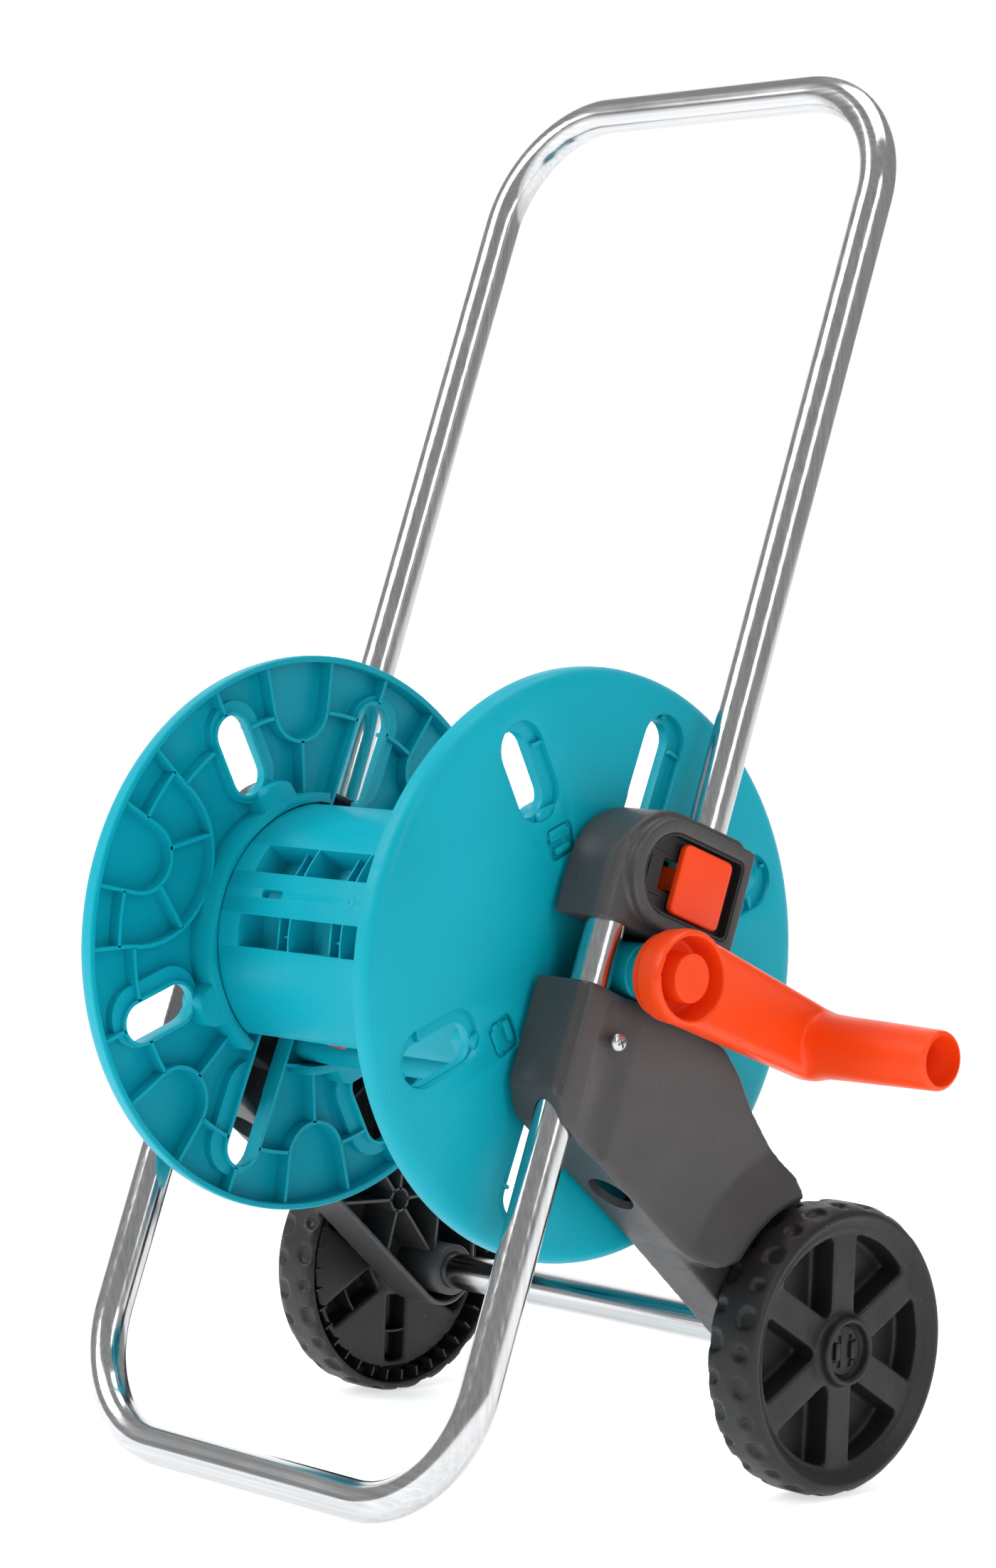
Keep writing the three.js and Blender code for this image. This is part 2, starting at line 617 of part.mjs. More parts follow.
/** Wheel moulded in one piece: rim with tread, six flat spokes, a floor behind them and a hub ring. */
function wheel() {
  const start = wheelStart;
  const end = wheelStart + wheelWidth;
  const innerRim = wheelRadius - 15.6;
  const rim = latheX([
    [wheelRadius - 5, start], [wheelRadius - 1.6, start], [wheelRadius, start + 5], [wheelRadius, end - 7],
    [wheelRadius - 5, end], [wheelRadius - 8.6, end], [wheelRadius - 9.4, end - 3], [innerRim, end - 3],
    [innerRim, start + 10], [innerRim + 2.6, start + 10], [innerRim + 2.6, end - 7], [wheelRadius - 5, end - 7]]);
  const floor = rodX(innerRim + 1, start + 7.4, start + 10);
  const hub = latheX([[0, start + 1.4], [13.5, start + 1.4], [hubRingRadius + 1, start + 12],
    [hubRingRadius, end + 1], [14.2, end + 1], [14.2, stubHeadStart - runningGap],
    [0, stubHeadStart - runningGap]]);
  const spokes = [];
  for (let i = 0; i < spokeCount; i += 1) {
    const spoke = box([start + 9, -spokeWidth / 2, 15], [end - 4.4, spokeWidth / 2, innerRim + 1]);
    spokes.push(turnX(spoke, 360 / spokeCount * i));
  }
  return cut(join(rim, floor, hub, spokes), rodX(stubRadius + runningGap - clearance, start - 1, end));
}

for (const { name, sign } of sides) {
  place(`wheel_${name}`, mirror(moveTo(wheel(), 0, axleSetback, wheelHeight), sign), blackPlastic);
}

// ---------------------------------------------------------------- drum

const longSlotAngles = [coreMiddleAngle + 90, coreMiddleAngle + 270];
const slots = longSlotAngles.flatMap((degrees) => [
  { degrees, inner: longSlotInnerRadius },
  { degrees: degrees - slotSpread, inner: slotInnerRadius },
  { degrees: degrees + slotSpread, inner: slotInnerRadius },
]);
const webInside = flangeOuterX - flangeWeb;
const ribInside = webInside - flangeLip;
const coreSeat = webInside - 17;

/** Drum flange: a web with a deep rim, radial slots, U-shaped pockets and seats for the core segments. */
function flange() {
  const web = latheX([
    [journalRadius + clearance, webInside], [flangeRadius - 3.5, webInside], [flangeRadius - 3.5, ribInside],
    [flangeRadius, ribInside], [flangeRadius, flangeOuterX - 5.5], [flangeRadius - 2.2, flangeOuterX - 1.8],
    [flangeRadius - 7, flangeOuterX], [journalRadius + clearance, flangeOuterX]]);
  const added = [];
  const holes = [];
  for (const { degrees, inner } of slots) {
    const collar = slotShape(inner, slotOuterRadius, slotWidth + 5, degrees);
    const opening = slotShape(inner, slotOuterRadius, slotWidth, degrees);
    added.push(extrudeX(collar, ribInside, webInside + 1, 3));
    holes.push(extrudeX(opening, ribInside - 1, flangeOuterX + 1, 3));
  }
  for (const middle of [coreMiddleAngle, coreMiddleAngle + 180]) {
    const seat = arcShape(coreRadius + clearance, coreRadius + 5, middle - coreHalfAngle, middle + coreHalfAngle);
    added.push(extrudeX(seat, coreSeat, webInside + 1, 8));
    for (const offset of [-22, 0, 22]) {
      const rib = box([ribInside, -1, coreRadius + 3], [webInside + 1, 1, flangeRadius - 2]);
      added.push(turnX(rib, middle + offset - 90));
    }
    for (const offset of [-48, 48]) {
      const latch = slotShape(64, 70, 11, middle + offset);
      holes.push(extrudeX(latch, webInside - 1, flangeOuterX + 1, 3));
    }
  }
  return cut(join(web, added), holes);
}

/** Core segment: a thick arc with round ends, hollow inside, with two rows of windows. */
function coreSegment(middle) {
  const length = webInside - clearance;
  const midRadius = coreRadius - coreThickness / 2;
  const section = (inset) => {
    const half = coreThickness / 2 - inset;
    const reach = THREE.MathUtils.degToRad(coreHalfAngle) - coreThickness / 2 / midRadius;
    const shape = new THREE.Shape();
    const from = THREE.MathUtils.degToRad(middle) - reach;
    const to = THREE.MathUtils.degToRad(middle) + reach;
    shape.absarc(0, 0, midRadius + half, from, to, false);
    shape.absarc(midRadius * Math.cos(to), midRadius * Math.sin(to), half, to, to + Math.PI, false);
    shape.absarc(0, 0, midRadius - half, to, from, true);
    shape.absarc(midRadius * Math.cos(from), midRadius * Math.sin(from), half,
      from + Math.PI, from + Math.PI * 2, false);
    return shape;
  };
  const outer = extrudeX(section(0), -length, length, 8);
  const hollow = extrudeX(section(coreWall), -length - 1, length + 1, 8);
  const opening = extrudeX(arcShape(coreRadius - coreThickness - 1, midRadius, middle - coreHalfAngle + 14,
    middle + coreHalfAngle - 14), -length - 1, length + 1, 8);
  const shell = cut(outer, hollow, opening);
  const pitch = windowWidth + windowRib;
  const windows = [];
  for (const offset of windowRows) {
    for (let column = 0; column < windowColumns; column += 1) {
      const x = (column - (windowColumns - 1) / 2) * pitch;
      const low = [x - windowWidth / 2, -windowHeight / 2, coreRadius - coreWall - 2];
      const high = [x + windowWidth / 2, windowHeight / 2, coreRadius + 2];
      windows.push(turnX(box(low, high), middle + offset - 90));
    }
  }
  return cut(shell, windows);
}

/** Hub: a plate screwed to the flange with the journal that turns in the bearing plate. */
function hub(journalEnd, bore) {
  const plateInside = webInside - clearance - 4;
  return latheX([[bore, plateInside - 6], [13, plateInside - 6], [15, plateInside], [34, plateInside],
    [34, plateInside + 4], [journalRadius, plateInside + 4], [journalRadius, journalEnd], [bore, journalEnd]]);
}

/** Crank: head with a ring-shaped recess, arm and hollow handgrip in one moulding. */
function crank() {
  const start = crankHeadStart;
  const end = crankHeadStart + crankHeadDepth;
  const head = latheX([[0, start], [crankHeadBack, start], [crankHeadRadius, start + 9],
    [crankHeadRadius, end], [0, end]]);
  const armTip = crankReach + 16;
  const armShape = outline([[0, -armRootHalf], [crankReach - 14, -armTipHalf], [armTip - 8, -armTipHalf * 0.75],
    [armTip, 0], [armTip - 8, armTipHalf * 0.75], [crankReach - 14, armTipHalf], [0, armRootHalf]]);
  const arm = extrudeX(armShape, start + 4, end);
  const gripEnd = end + gripLength;
  const grip = moveTo(latheX([[0, end - 4], [gripRadius + 3, end - 4], [gripRadius + 2.4, end + 8],
    [gripRadius, end + 22], [gripRadius, gripEnd - 2], [gripRadius - 1, gripEnd], [0, gripEnd]]), 0, crankReach, 0);
  const recess = rodX(crankRecessRadius, start + 5, end + 1);
  const boss = rodX(crankBossRadius, start, end - 1);
  const gripBore = moveTo(latheX([[0, end - 8], [gripRadius - 4.2, end - 8], [gripRadius - 3.6, gripEnd - 9],
    [gripRadius - 2.6, gripEnd - 8], [gripRadius - 2.6, gripEnd + 1], [0, gripEnd + 1]]), 0, crankReach, 0);
  const hollowFrom = crankHeadRadius + 6;
  const hollowTo = crankReach - gripRadius - 7;
  const armHollow = extrudeX(outline([[hollowFrom, wall - armRootHalf + 3], [hollowTo, wall - armTipHalf + 2],
    [hollowTo, armTipHalf - wall - 2], [hollowFrom, armRootHalf - wall - 3]]), start, end - 4);
  return cut(join(cut(join(head, arm), recess), boss, grip), gripBore, armHollow,
    rodX(journalRadius + clearance, start - 1, end - 8));
}

const crankShaftEnd = crankHeadStart + crankHeadDepth - 8 - clearance;
for (const { name, sign } of sides) {
  place(`drum_flange_${name}`, mirror(flange(), sign), teal);
}
place('drum_core_front', coreSegment(coreMiddleAngle), teal);
place('drum_core_back', coreSegment(coreMiddleAngle + 180), teal);
place('drum_hub_right', hub(crankShaftEnd, 0), teal);
place('crank_sleeve', rodX(sleeveRadius, plateEnd + 2 + runningGap, crankHeadStart - 0.7,
  journalRadius + clearance), teal);
place('crank', turnX(crank(), crankDegrees), orange);

// ---------------------------------------------------------------- water inlet, on the left

const pipeBore = 5;
const elbowRadius = 14.5;
const elbowReach = 46;

place('drum_hub_left', hub(inletEnd, pipeBore).mirror([1, 0, 0]), teal);

/** Inlet elbow that swivels on the left journal, with a barbed quick-connect nose. */
function inletElbow() {
  const body = join(
    rodX(elbowRadius, elbowStart, inletEnd + 5),
    rod(9.5, elbowReach - 12, [inletEnd - 9.5, 0, 0], 'y'),
    moveTo(noseProfile(), inletEnd - 9.5, elbowReach - 13, 0));
  return cut(body,
    rodX(journalRadius + 3.1, elbowStart - 1, elbowStart + 15),
    rodX(journalRadius + clearance, elbowStart + 14, inletEnd + clearance),
    rod(pipeBore, elbowReach + 20, [inletEnd - 9.5, journalRadius + 0.1, 0], 'y'));
}

/** Quick-connect nose about Y: shoulder, groove and tip. */
function noseProfile() {
  const points = [[0, 0], [12.5, 0], [12.5, 5], [8.6, 6], [8.6, 14], [10, 15], [10, 17], [7.6, 18], [7.6, 26], [6.8, 27],
    [0, 27]].map(([radius, y]) => new THREE.Vector2(radius, y));
  return solid(new THREE.LatheGeometry(points, facets(12.5)));
}

place('inlet_elbow', turnX(inletElbow(), -leanDegrees).mirror([1, 0, 0]), darkGrey);
for (const [index, x] of [elbowStart + 4, elbowStart + 9.5].entries()) {
  const ring = new THREE.TorusGeometry(journalRadius + clearance + 1.2, 1.2, 6, 16);
  ring.rotateY(Math.PI / 2);
  place(`inlet_seal_ring_${index + 1}`, solid(ring).translate([-x, 0, 0]), rubber);
}

/** Pipe inside the drum, from the left hub out through the gap between the core segments. */
function waterPipe(innerRadius, outerRadius) {
  const start = -(webInside - clearance - 10) + clearance;
  const radius = 24;
  const path = new THREE.CurvePath();
  path.add(new THREE.LineCurve3(new THREE.Vector3(start, 0, 0), new THREE.Vector3(start + 18, 0, 0)));
  path.add(new THREE.QuadraticBezierCurve3(new THREE.Vector3(start + 18, 0, 0),
    new THREE.Vector3(start + 18 + radius, 0, 0), new THREE.Vector3(start + 18 + radius, radius, 0)));
  const section = new THREE.Shape();
  section.absarc(0, 0, outerRadius, 0, Math.PI * 2, false);
  const bore = new THREE.Path();
  bore.absarc(0, 0, innerRadius, 0, Math.PI * 2, true);
  section.holes.push(bore);
  return solid(new THREE.ExtrudeGeometry(section, {
    extrudePath: path, steps: 9, curveSegments: 5, bevelEnabled: false,
  }));
}

const gapAngle = coreMiddleAngle + 90;
const pipeTurnX = -(webInside - clearance - 10) + clearance + 18 + 24;
place('inner_water_pipe', turnX(waterPipe(pipeBore, 8), gapAngle), blackPlastic);
const connector = cut(join(
  rod(10.5, 8, [0, 24 + clearance, 0], 'y'),
  noseProfile().translate([0, 24 + clearance + 7, 0])), rod(pipeBore, 40, [0, 20, 0], 'y'));
place('hose_connector', turnX(moveTo(connector, pipeTurnX, 0, 0), gapAngle), orange);

// ---------------------------------------------------------------- origin on the ground under the middle of the cart

cart.updateMatrixWorld(true);
const bounds = new THREE.Box3().setFromObject(cart, true);
cart.position.set(-(bounds.min.x + bounds.max.x) / 2, -(bounds.min.y + bounds.max.y) / 2, 0);

export default cart;
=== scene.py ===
"""Looks of a garden hose reel cart: bent tubes, moulded housings, a drum, a crank and two wheels."""

import json
import math

import bpy
from mathutils import Matrix, Vector


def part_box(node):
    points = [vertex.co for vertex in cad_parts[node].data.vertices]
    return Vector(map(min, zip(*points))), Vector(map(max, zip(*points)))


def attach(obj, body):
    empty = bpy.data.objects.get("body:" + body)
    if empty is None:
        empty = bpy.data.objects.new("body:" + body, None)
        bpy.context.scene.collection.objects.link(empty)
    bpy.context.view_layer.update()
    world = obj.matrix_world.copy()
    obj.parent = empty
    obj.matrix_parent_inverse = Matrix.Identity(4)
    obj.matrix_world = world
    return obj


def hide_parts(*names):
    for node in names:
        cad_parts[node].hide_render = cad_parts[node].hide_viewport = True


bl_info = {
    "name": "Hose Reel Cart",
    "version": (1, 0, 0),
    "blender": (4, 5, 0),
    "location": "View3D > Sidebar > Reel Cart",
    "description": "Models a garden hose reel cart piece by piece",
    "category": "Add Mesh",
}

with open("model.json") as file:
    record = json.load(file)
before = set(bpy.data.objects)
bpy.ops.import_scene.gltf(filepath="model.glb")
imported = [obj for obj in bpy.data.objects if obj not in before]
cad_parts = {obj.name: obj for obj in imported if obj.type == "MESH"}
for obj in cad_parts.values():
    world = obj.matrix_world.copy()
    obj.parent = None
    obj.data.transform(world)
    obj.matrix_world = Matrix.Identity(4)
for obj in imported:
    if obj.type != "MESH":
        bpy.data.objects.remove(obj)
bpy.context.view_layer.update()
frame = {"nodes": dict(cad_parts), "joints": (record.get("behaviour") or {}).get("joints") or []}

MM = 0.001
SIDES = (("right", 1), ("left", -1))


def drum_middle():
    """The point on the drum axis half way between the flanges, where every piece is modelled."""
    axis = next(joint for joint in frame["joints"] if joint["name"] == "drum_spin")["pos_m"]
    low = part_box("drum_flange_left")[0][0]
    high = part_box("drum_flange_right")[1][0]
    return Vector(((low + high) / 2, axis[1], axis[2]))


MIDDLE = drum_middle()


# ---------------------------------------------------------------- sizes and colours


def length(name, text, millimetres):
    """A size shown in the panel."""
    return bpy.props.FloatProperty(
        name=name, description=text, default=millimetres * MM, unit="LENGTH", subtype="DISTANCE", precision=4)


def slant(name, text, degrees):
    """An angle shown in the panel."""
    return bpy.props.FloatProperty(
        name=name, description=text, default=math.radians(degrees), subtype="ANGLE")


def paint(name, text, colour):
    """A colour shown in the panel."""
    return bpy.props.FloatVectorProperty(
        name=name, description=text, default=colour, subtype="COLOR", size=3, min=0, max=1)


class ReelCartSizes(bpy.types.PropertyGroup):
    """Sizes of the cart, in metres."""

    tube: length("Tube", "Diameter of every tube", 20)
    tube_wall: length("Tube wall", "Wall of every tube", 1.5)
    bend: length("Bend", "Radius of the bends, to the middle of the tube", 64)
    lean: slant("Lean", "Angle of the tubes from upright", 18.2)
    foot_spacing: length("Foot spacing", "Leg of the foot loop from the middle", 140)
    handle_spacing: length("Handle spacing", "Leg of the handle loop from the middle", 138)
    tube_pitch: length("Tube pitch", "Between the front and the rear tube", 53.6)
    flange: length("Flange", "Radius of the drum flanges", 148.3)
    flange_face: length("Flange face", "Outer face of a flange from the middle", 112.5)
    core: length("Core", "Radius of the drum core", 70)
    wheel: length("Wheel", "Radius of a wheel", 74.6)
    wheel_start: length("Wheel side", "Inner side of a wheel from the middle", 150.4)
    wheel_width: length("Wheel width", "Width of a wheel", 30.6)
    axle_back: length("Axle", "Wheel axis behind the drum axis", 125.1)
    crank_reach: length("Crank reach", "Drum axis to grip axis", 104)
    crank_drop: slant("Crank angle", "Angle of the crank below level", 20.7)
    grip: length("Grip", "Length of the handgrip", 76)
    button: length("Button", "Side of the lock button", 35.6)


class ReelCartColours(bpy.types.PropertyGroup):
    """Colours of the finishes."""

    teal: paint("Teal", "Drum", (0.0, 0.37, 0.475))
    orange: paint("Orange", "Crank and lock buttons", (0.90, 0.060, 0.004))
    grey: paint("Dark grey", "Brackets, housings and inlet", (0.050, 0.048, 0.050))
    black: paint("Black", "Wheels, liners and plugs", (0.011, 0.011, 0.012))
    metal: paint("Aluminium", "Tubes", (0.62, 0.625, 0.635))
    zinc: paint("Zinc", "Screws and springs", (0.62, 0.63, 0.65))
    rubber: paint("Rubber", "Seal rings and brake shoes", (0.012, 0.012, 0.013))


def sizes():
    """The sizes in millimetres, and the angles in radians."""
    group = bpy.context.scene.reel_cart_sizes
    angles = {"lean", "crank_drop"}
    return {key: getattr(group, key) / (1 if key in angles else MM) for key in ReelCartSizes.__annotations__}


def axle_centre(size):
    """The wheel axis in side view, from the drum axis."""
    return (size["axle_back"], size["wheel"] - MIDDLE.z / MM)


# ---------------------------------------------------------------- outlines


def polar(radius, degrees):
    """A point about the drum axis."""
    angle = math.radians(degrees)
    return (radius * math.cos(angle), radius * math.sin(angle))


def arc(centre, radius, start, end, steps):
    """Points of an arc about a centre, from one angle to another in degrees."""
    turn = [start + (end - start) * step / steps for step in range(steps + 1)]
    return [(centre[0] + polar(radius, angle)[0], centre[1] + polar(radius, angle)[1]) for angle in turn]


def slot(inner, outer, width, degrees, steps=12):
    """A slot with round ends, along a ray from the drum axis."""
    near, far = polar(inner, degrees), polar(outer, degrees)
    return (arc(near, width / 2, degrees + 90, degrees + 270, steps)
            + arc(far, width / 2, degrees - 90, degrees + 90, steps))


def band(inner, outer, start, end, steps=40):
    """A thick arc about the drum axis."""
    return arc((0, 0), outer, start, end, steps) + arc((0, 0), inner, end, start, steps)


def rectangle(left, low, right, high):
    """The corners of a rectangle, in order."""
    return [(left, low), (right, low), (right, high), (left, high)]


def rounded(corners, radius, steps=6):
    """The outline with its corners rounded. radius is one value, or one for each corner."""
    radii = radius if isinstance(radius, (list, tuple)) else [radius] * len(corners)
    points = []
    for index, here in enumerate(corners):
        here = Vector(here)
        back = Vector(corners[index - 1]) - here
        ahead = Vector(corners[(index + 1) % len(corners)]) - here
        angle = back.angle(ahead)
        reach = radii[index] / math.tan(angle / 2) if radii[index] else 0
        reach = min(reach, back.length * 0.49, ahead.length * 0.49)
        if reach < 0.01:
            points.append(tuple(here))
            continue
        start, end = here + back.normalized() * reach, here + ahead.normalized() * reach
        for step in range(steps + 1):
            share = step / steps
            points.append(tuple(start * (1 - share) ** 2 + here * 2 * share * (1 - share) + end * share ** 2))
    return points


def upright(across, along, lean):
    """A point of the leaning tube frame, seen upright."""
    sine, cosine = math.sin(lean), math.cos(lean)
    return (across * cosine + along * sine, -across * sine + along * cosine)


def upright_point(x, across, along, lean):
    """A point of the leaning tube frame at a place along the drum axis."""
    return (x, *upright(across, along, lean))


# ---------------------------------------------------------------- modelling


def deselect():
    """Leaves edit mode and selects nothing."""
    if bpy.context.mode != "OBJECT":
        bpy.ops.object.mode_set(mode="OBJECT")
    bpy.ops.object.select_all(action="DESELECT")


def choose(*pieces):
    """Selects the pieces, the first one active."""
    deselect()
    for piece in pieces:
        piece.select_set(True)
    bpy.context.view_layer.objects.active = pieces[0]


def freeze():
    """Takes the place, turn and scale of the selected piece into its mesh."""
    bpy.ops.object.transform_apply(location=True, rotation=True, scale=True)


def swung(piece, x=0.0, z=0.0):
    """The piece turned by these degrees about the drum axis and about the upright."""
    choose(piece)
    piece.rotation_euler = (math.radians(x), 0, math.radians(z))
    freeze()
    return piece


def shifted(piece, x, y=0.0, z=0.0):
    """The piece moved by these millimetres."""
    choose(piece)
    piece.location = (x * MM, y * MM, z * MM)
    freeze()
    return piece


def placed(piece, matrix):
    """The piece with this placing taken into its mesh."""
    choose(piece)
    piece.matrix_world = matrix
    freeze()
    return piece


def copy_of(piece):
    """A second piece of the same shape."""
    copy = piece.copy()
    copy.data = piece.data.copy()
    bpy.context.collection.objects.link(copy)
    return copy


def trace(points):
    """Starts a piece, in edit mode, as a chain of edges through points in millimetres."""
    deselect()
    bpy.ops.mesh.primitive_plane_add(size=1)
    bpy.ops.object.mode_set(mode="EDIT")
    bpy.ops.mesh.merge(type="CENTER")
    bpy.ops.transform.translate(value=Vector(points[0]) * MM)
    for here, there in zip(points, points[1:]):
        step = (Vector(there) - Vector(here)) * MM
        bpy.ops.mesh.extrude_region_move(TRANSFORM_OT_translate={"value": step})
    bpy.ops.mesh.select_all(action="SELECT")


def close_up():
    """Merges what meets, turns the faces out and leaves edit mode."""
    bpy.ops.mesh.select_all(action="SELECT")
    bpy.ops.mesh.remove_doubles(threshold=2e-6)
    bpy.ops.mesh.normals_make_consistent(inside=False)
    bpy.ops.object.mode_set(mode="OBJECT")
    return bpy.context.object


def extruded(points, way):
    """A solid from a closed chain of points, pulled along a vector in millimetres."""
    trace(points)
    bpy.ops.mesh.edge_face_add()
    bpy.ops.mesh.extrude_region_move(TRANSFORM_OT_translate={"value": Vector(way) * MM})
    return close_up()


def slab(outline, start, end):
    """A solid with this side-view outline, from one place along the drum axis to another."""
    return extruded([(start, y, z) for y, z in outline], (end - start, 0, 0))


def turned(profile, centre=(0, 0), steps=96):
    """A solid turned about the line along X through a centre, from an outline of (radius, x)."""
    ring = profile + profile[:1] if profile[0][0] > 0 else profile
    trace([(x, centre[0], centre[1] + radius) for radius, x in ring])
    bpy.ops.mesh.spin(steps=steps, angle=math.tau, center=(0, centre[0] * MM, centre[1] * MM), axis=(1, 0, 0))
    return close_up()


def block(low, high):
    """A box between two corners."""
    deselect()
    middle = [(a + b) / 2 * MM for a, b in zip(low, high)]
    bpy.ops.mesh.primitive_cube_add(size=1, location=middle)
    piece = bpy.context.object
    piece.scale = [(b - a) * MM for a, b in zip(low, high)]
    freeze()
    return piece


def rod(radius, start, end, steps=48):
    """A round bar between two points."""
    deselect()
    start, end = Vector(start) * MM, Vector(end) * MM
    way = end - start
    bpy.ops.mesh.primitive_cylinder_add(
        vertices=steps, radius=radius * MM, depth=way.length, location=(start + end) / 2,
        rotation=way.to_track_quat("Z", "Y").to_euler())
    freeze()
    return bpy.context.object


def apply(piece, kind, **settings):
    """Adds a modifier with these settings and applies it."""
    choose(piece)
    modifier = piece.modifiers.new(kind.lower(), kind)
    for key, value in settings.items():
        setattr(modifier, key, value)
    bpy.ops.object.modifier_apply(modifier=modifier.name)
    return piece


def merge(pieces):
    """Several pieces as one mesh."""
    choose(*pieces)
    if len(pieces) > 1:
        bpy.ops.object.join()
    return pieces[0]


def combine(piece, operation, tools):
    """Applies one boolean after another; the tools go."""
    for tool in tools:
        apply(piece, "BOOLEAN", operation=operation, object=tool, solver="EXACT")
        bpy.data.objects.remove(tool)
    return piece


def carve(piece, *tools):
    return combine(piece, "DIFFERENCE", tools)


def weld(piece, *tools):
    return combine(piece, "UNION", tools)


def keep_inside(piece, tool):
    return combine(piece, "INTERSECT", [tool])


def soften(piece, width, segments=3, angle=35):
    """Rounds the sharp edges."""
    return apply(piece, "BEVEL", width=width * MM, segments=segments, limit_method="ANGLE",
                 angle_limit=math.radians(angle), harden_normals=False, miter_outer="MITER_ARC")


def mould(piece, voxel, rounds):
    """Fuses overlapping shapes into one skin with soft fillets, as a moulding has."""
    apply(piece, "REMESH", mode="VOXEL", voxel_size=voxel * MM, use_smooth_shade=True)
    return apply(piece, "SMOOTH", factor=0.5, iterations=rounds)


def walls(lines, thickness, start, end):
    """Thin upright walls along lines of (y, z) points, from one x to another."""
    made = []
    for line in lines:
        trace([(start, y, z) for y, z in line])
        bpy.ops.mesh.extrude_region_move(TRANSFORM_OT_translate={"value": ((end - start) * MM, 0, 0)})
        bpy.ops.mesh.select_all(action="SELECT")
        bpy.ops.mesh.normals_make_consistent(inside=False)
        bpy.ops.object.mode_set(mode="OBJECT")
        made.append(bpy.context.object)
    return apply(merge(made), "SOLIDIFY", thickness=thickness * MM, offset=0, use_even_offset=True)


def spread(piece, angles, centre=(0, 0)):
    """Copies of a piece turned about the line along X through a centre; the piece itself goes."""
    middle = Matrix.Translation((0, centre[0] * MM, centre[1] * MM))
    turns = [middle @ Matrix.Rotation(math.radians(degrees), 4, "X") @ middle.inverted()
             for degrees in angles]
    copies = [placed(copy_of(piece), turn) for turn in turns]
    bpy.data.objects.remove(piece)
    return merge(copies)


def settle(piece, name, body, kind, nodes, turn=0.0, side=1, smooth=32):
    """Puts a finished piece in its place on the cart, with its name, its kind of finish and its body."""
    slot_name, material = SLOTS[kind], finish(kind)
    choose(piece)
    piece.name = name
    piece.data.name = name
    piece.rotation_euler = (turn, 0, 0)
    freeze()
    if side < 0:
        piece.scale = (-1, 1, 1)
        freeze()
        bpy.ops.object.mode_set(mode="EDIT")
        bpy.ops.mesh.select_all(action="SELECT")
        bpy.ops.mesh.normals_make_consistent(inside=False)
        bpy.ops.object.mode_set(mode="OBJECT")
    piece.location = MIDDLE
    freeze()
    bpy.ops.object.shade_smooth_by_angle(angle=math.radians(smooth))
    piece.data.materials.clear()
    piece.data.materials.append(material)
    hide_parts(*nodes)
    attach(piece, body)
    return piece


def pair(piece, stem, body, kind, turn=0.0, smooth=32):
    """The piece on the right and its mirror copy on the left. body holds {} where the side's name goes."""
    for (side, sign), half in zip(SIDES, (piece, copy_of(piece))):
        settle(half, f"{stem}_{side}_shape", body.format(side), kind, [f"{stem}_{side}"],
               turn=turn, side=sign, smooth=smooth)


# ---------------------------------------------------------------- finishes


def shader(name):
    """A new material with its shader and object coordinates."""
    material = bpy.data.materials.get(name)
    if material:
        return material, None, None, None
    material = bpy.data.materials.new(name)
    material.use_nodes = True
    tree = material.node_tree
    place = tree.nodes.new("ShaderNodeTexCoord").outputs["Object"]
    return material, tree, tree.nodes["Principled BSDF"], place


def noise(tree, place, scale, detail=3.0, stretch=(1, 1, 1), turn=0.0):
    """A noise value, stretched and turned about the drum axis."""
    mapping = tree.nodes.new("ShaderNodeMapping")
    mapping.vector_type = "POINT"
    mapping.inputs["Rotation"].default_value = (turn, 0, 0)
    mapping.inputs["Scale"].default_value = stretch
    texture = tree.nodes.new("ShaderNodeTexNoise")
    texture.inputs["Scale"].default_value = scale
    texture.inputs["Detail"].default_value = detail
    tree.links.new(place, mapping.inputs["Vector"])
    tree.links.new(mapping.outputs["Vector"], texture.inputs["Vector"])
    return texture.outputs["Fac"]


def spanned(tree, value, low, high, start=0.3, end=0.7):
    """The value taken from start..end to low..high."""
    span = tree.nodes.new("ShaderNodeMapRange")
    for key, number in (("From Min", start), ("From Max", end), ("To Min", low), ("To Max", high)):
        span.inputs[key].default_value = number
    tree.links.new(value, span.inputs["Value"])
    return span.outputs["Result"]


def mixed(tree, factor, first, second):
    """A colour between two colours."""
    mix = tree.nodes.new("ShaderNodeMix")
    mix.data_type = "RGBA"
    mix.blend_type = "MIX"
    for socket, value in ((mix.inputs[0], factor), (mix.inputs[6], first), (mix.inputs[7], second)):
        if hasattr(value, "links"):
            tree.links.new(value, socket)
        else:
            socket.default_value = value
    return mix.outputs[2]


def bump(tree, height, distance, strength, after=None):
    """A bump of this many millimetres, on top of another."""
    node = tree.nodes.new("ShaderNodeBump")
    node.inputs["Distance"].default_value = distance * MM
    node.inputs["Strength"].default_value = strength
    tree.links.new(height, node.inputs["Height"])
    if after:
        tree.links.new(after, node.inputs["Normal"])
    return node.outputs["Normal"]


def added(tree, first, second):
    """The sum of two values."""
    node = tree.nodes.new("ShaderNodeMath")
    node.operation = "ADD"
    tree.links.new(first, node.inputs[0])
    tree.links.new(second, node.inputs[1])
    return node.outputs[0]


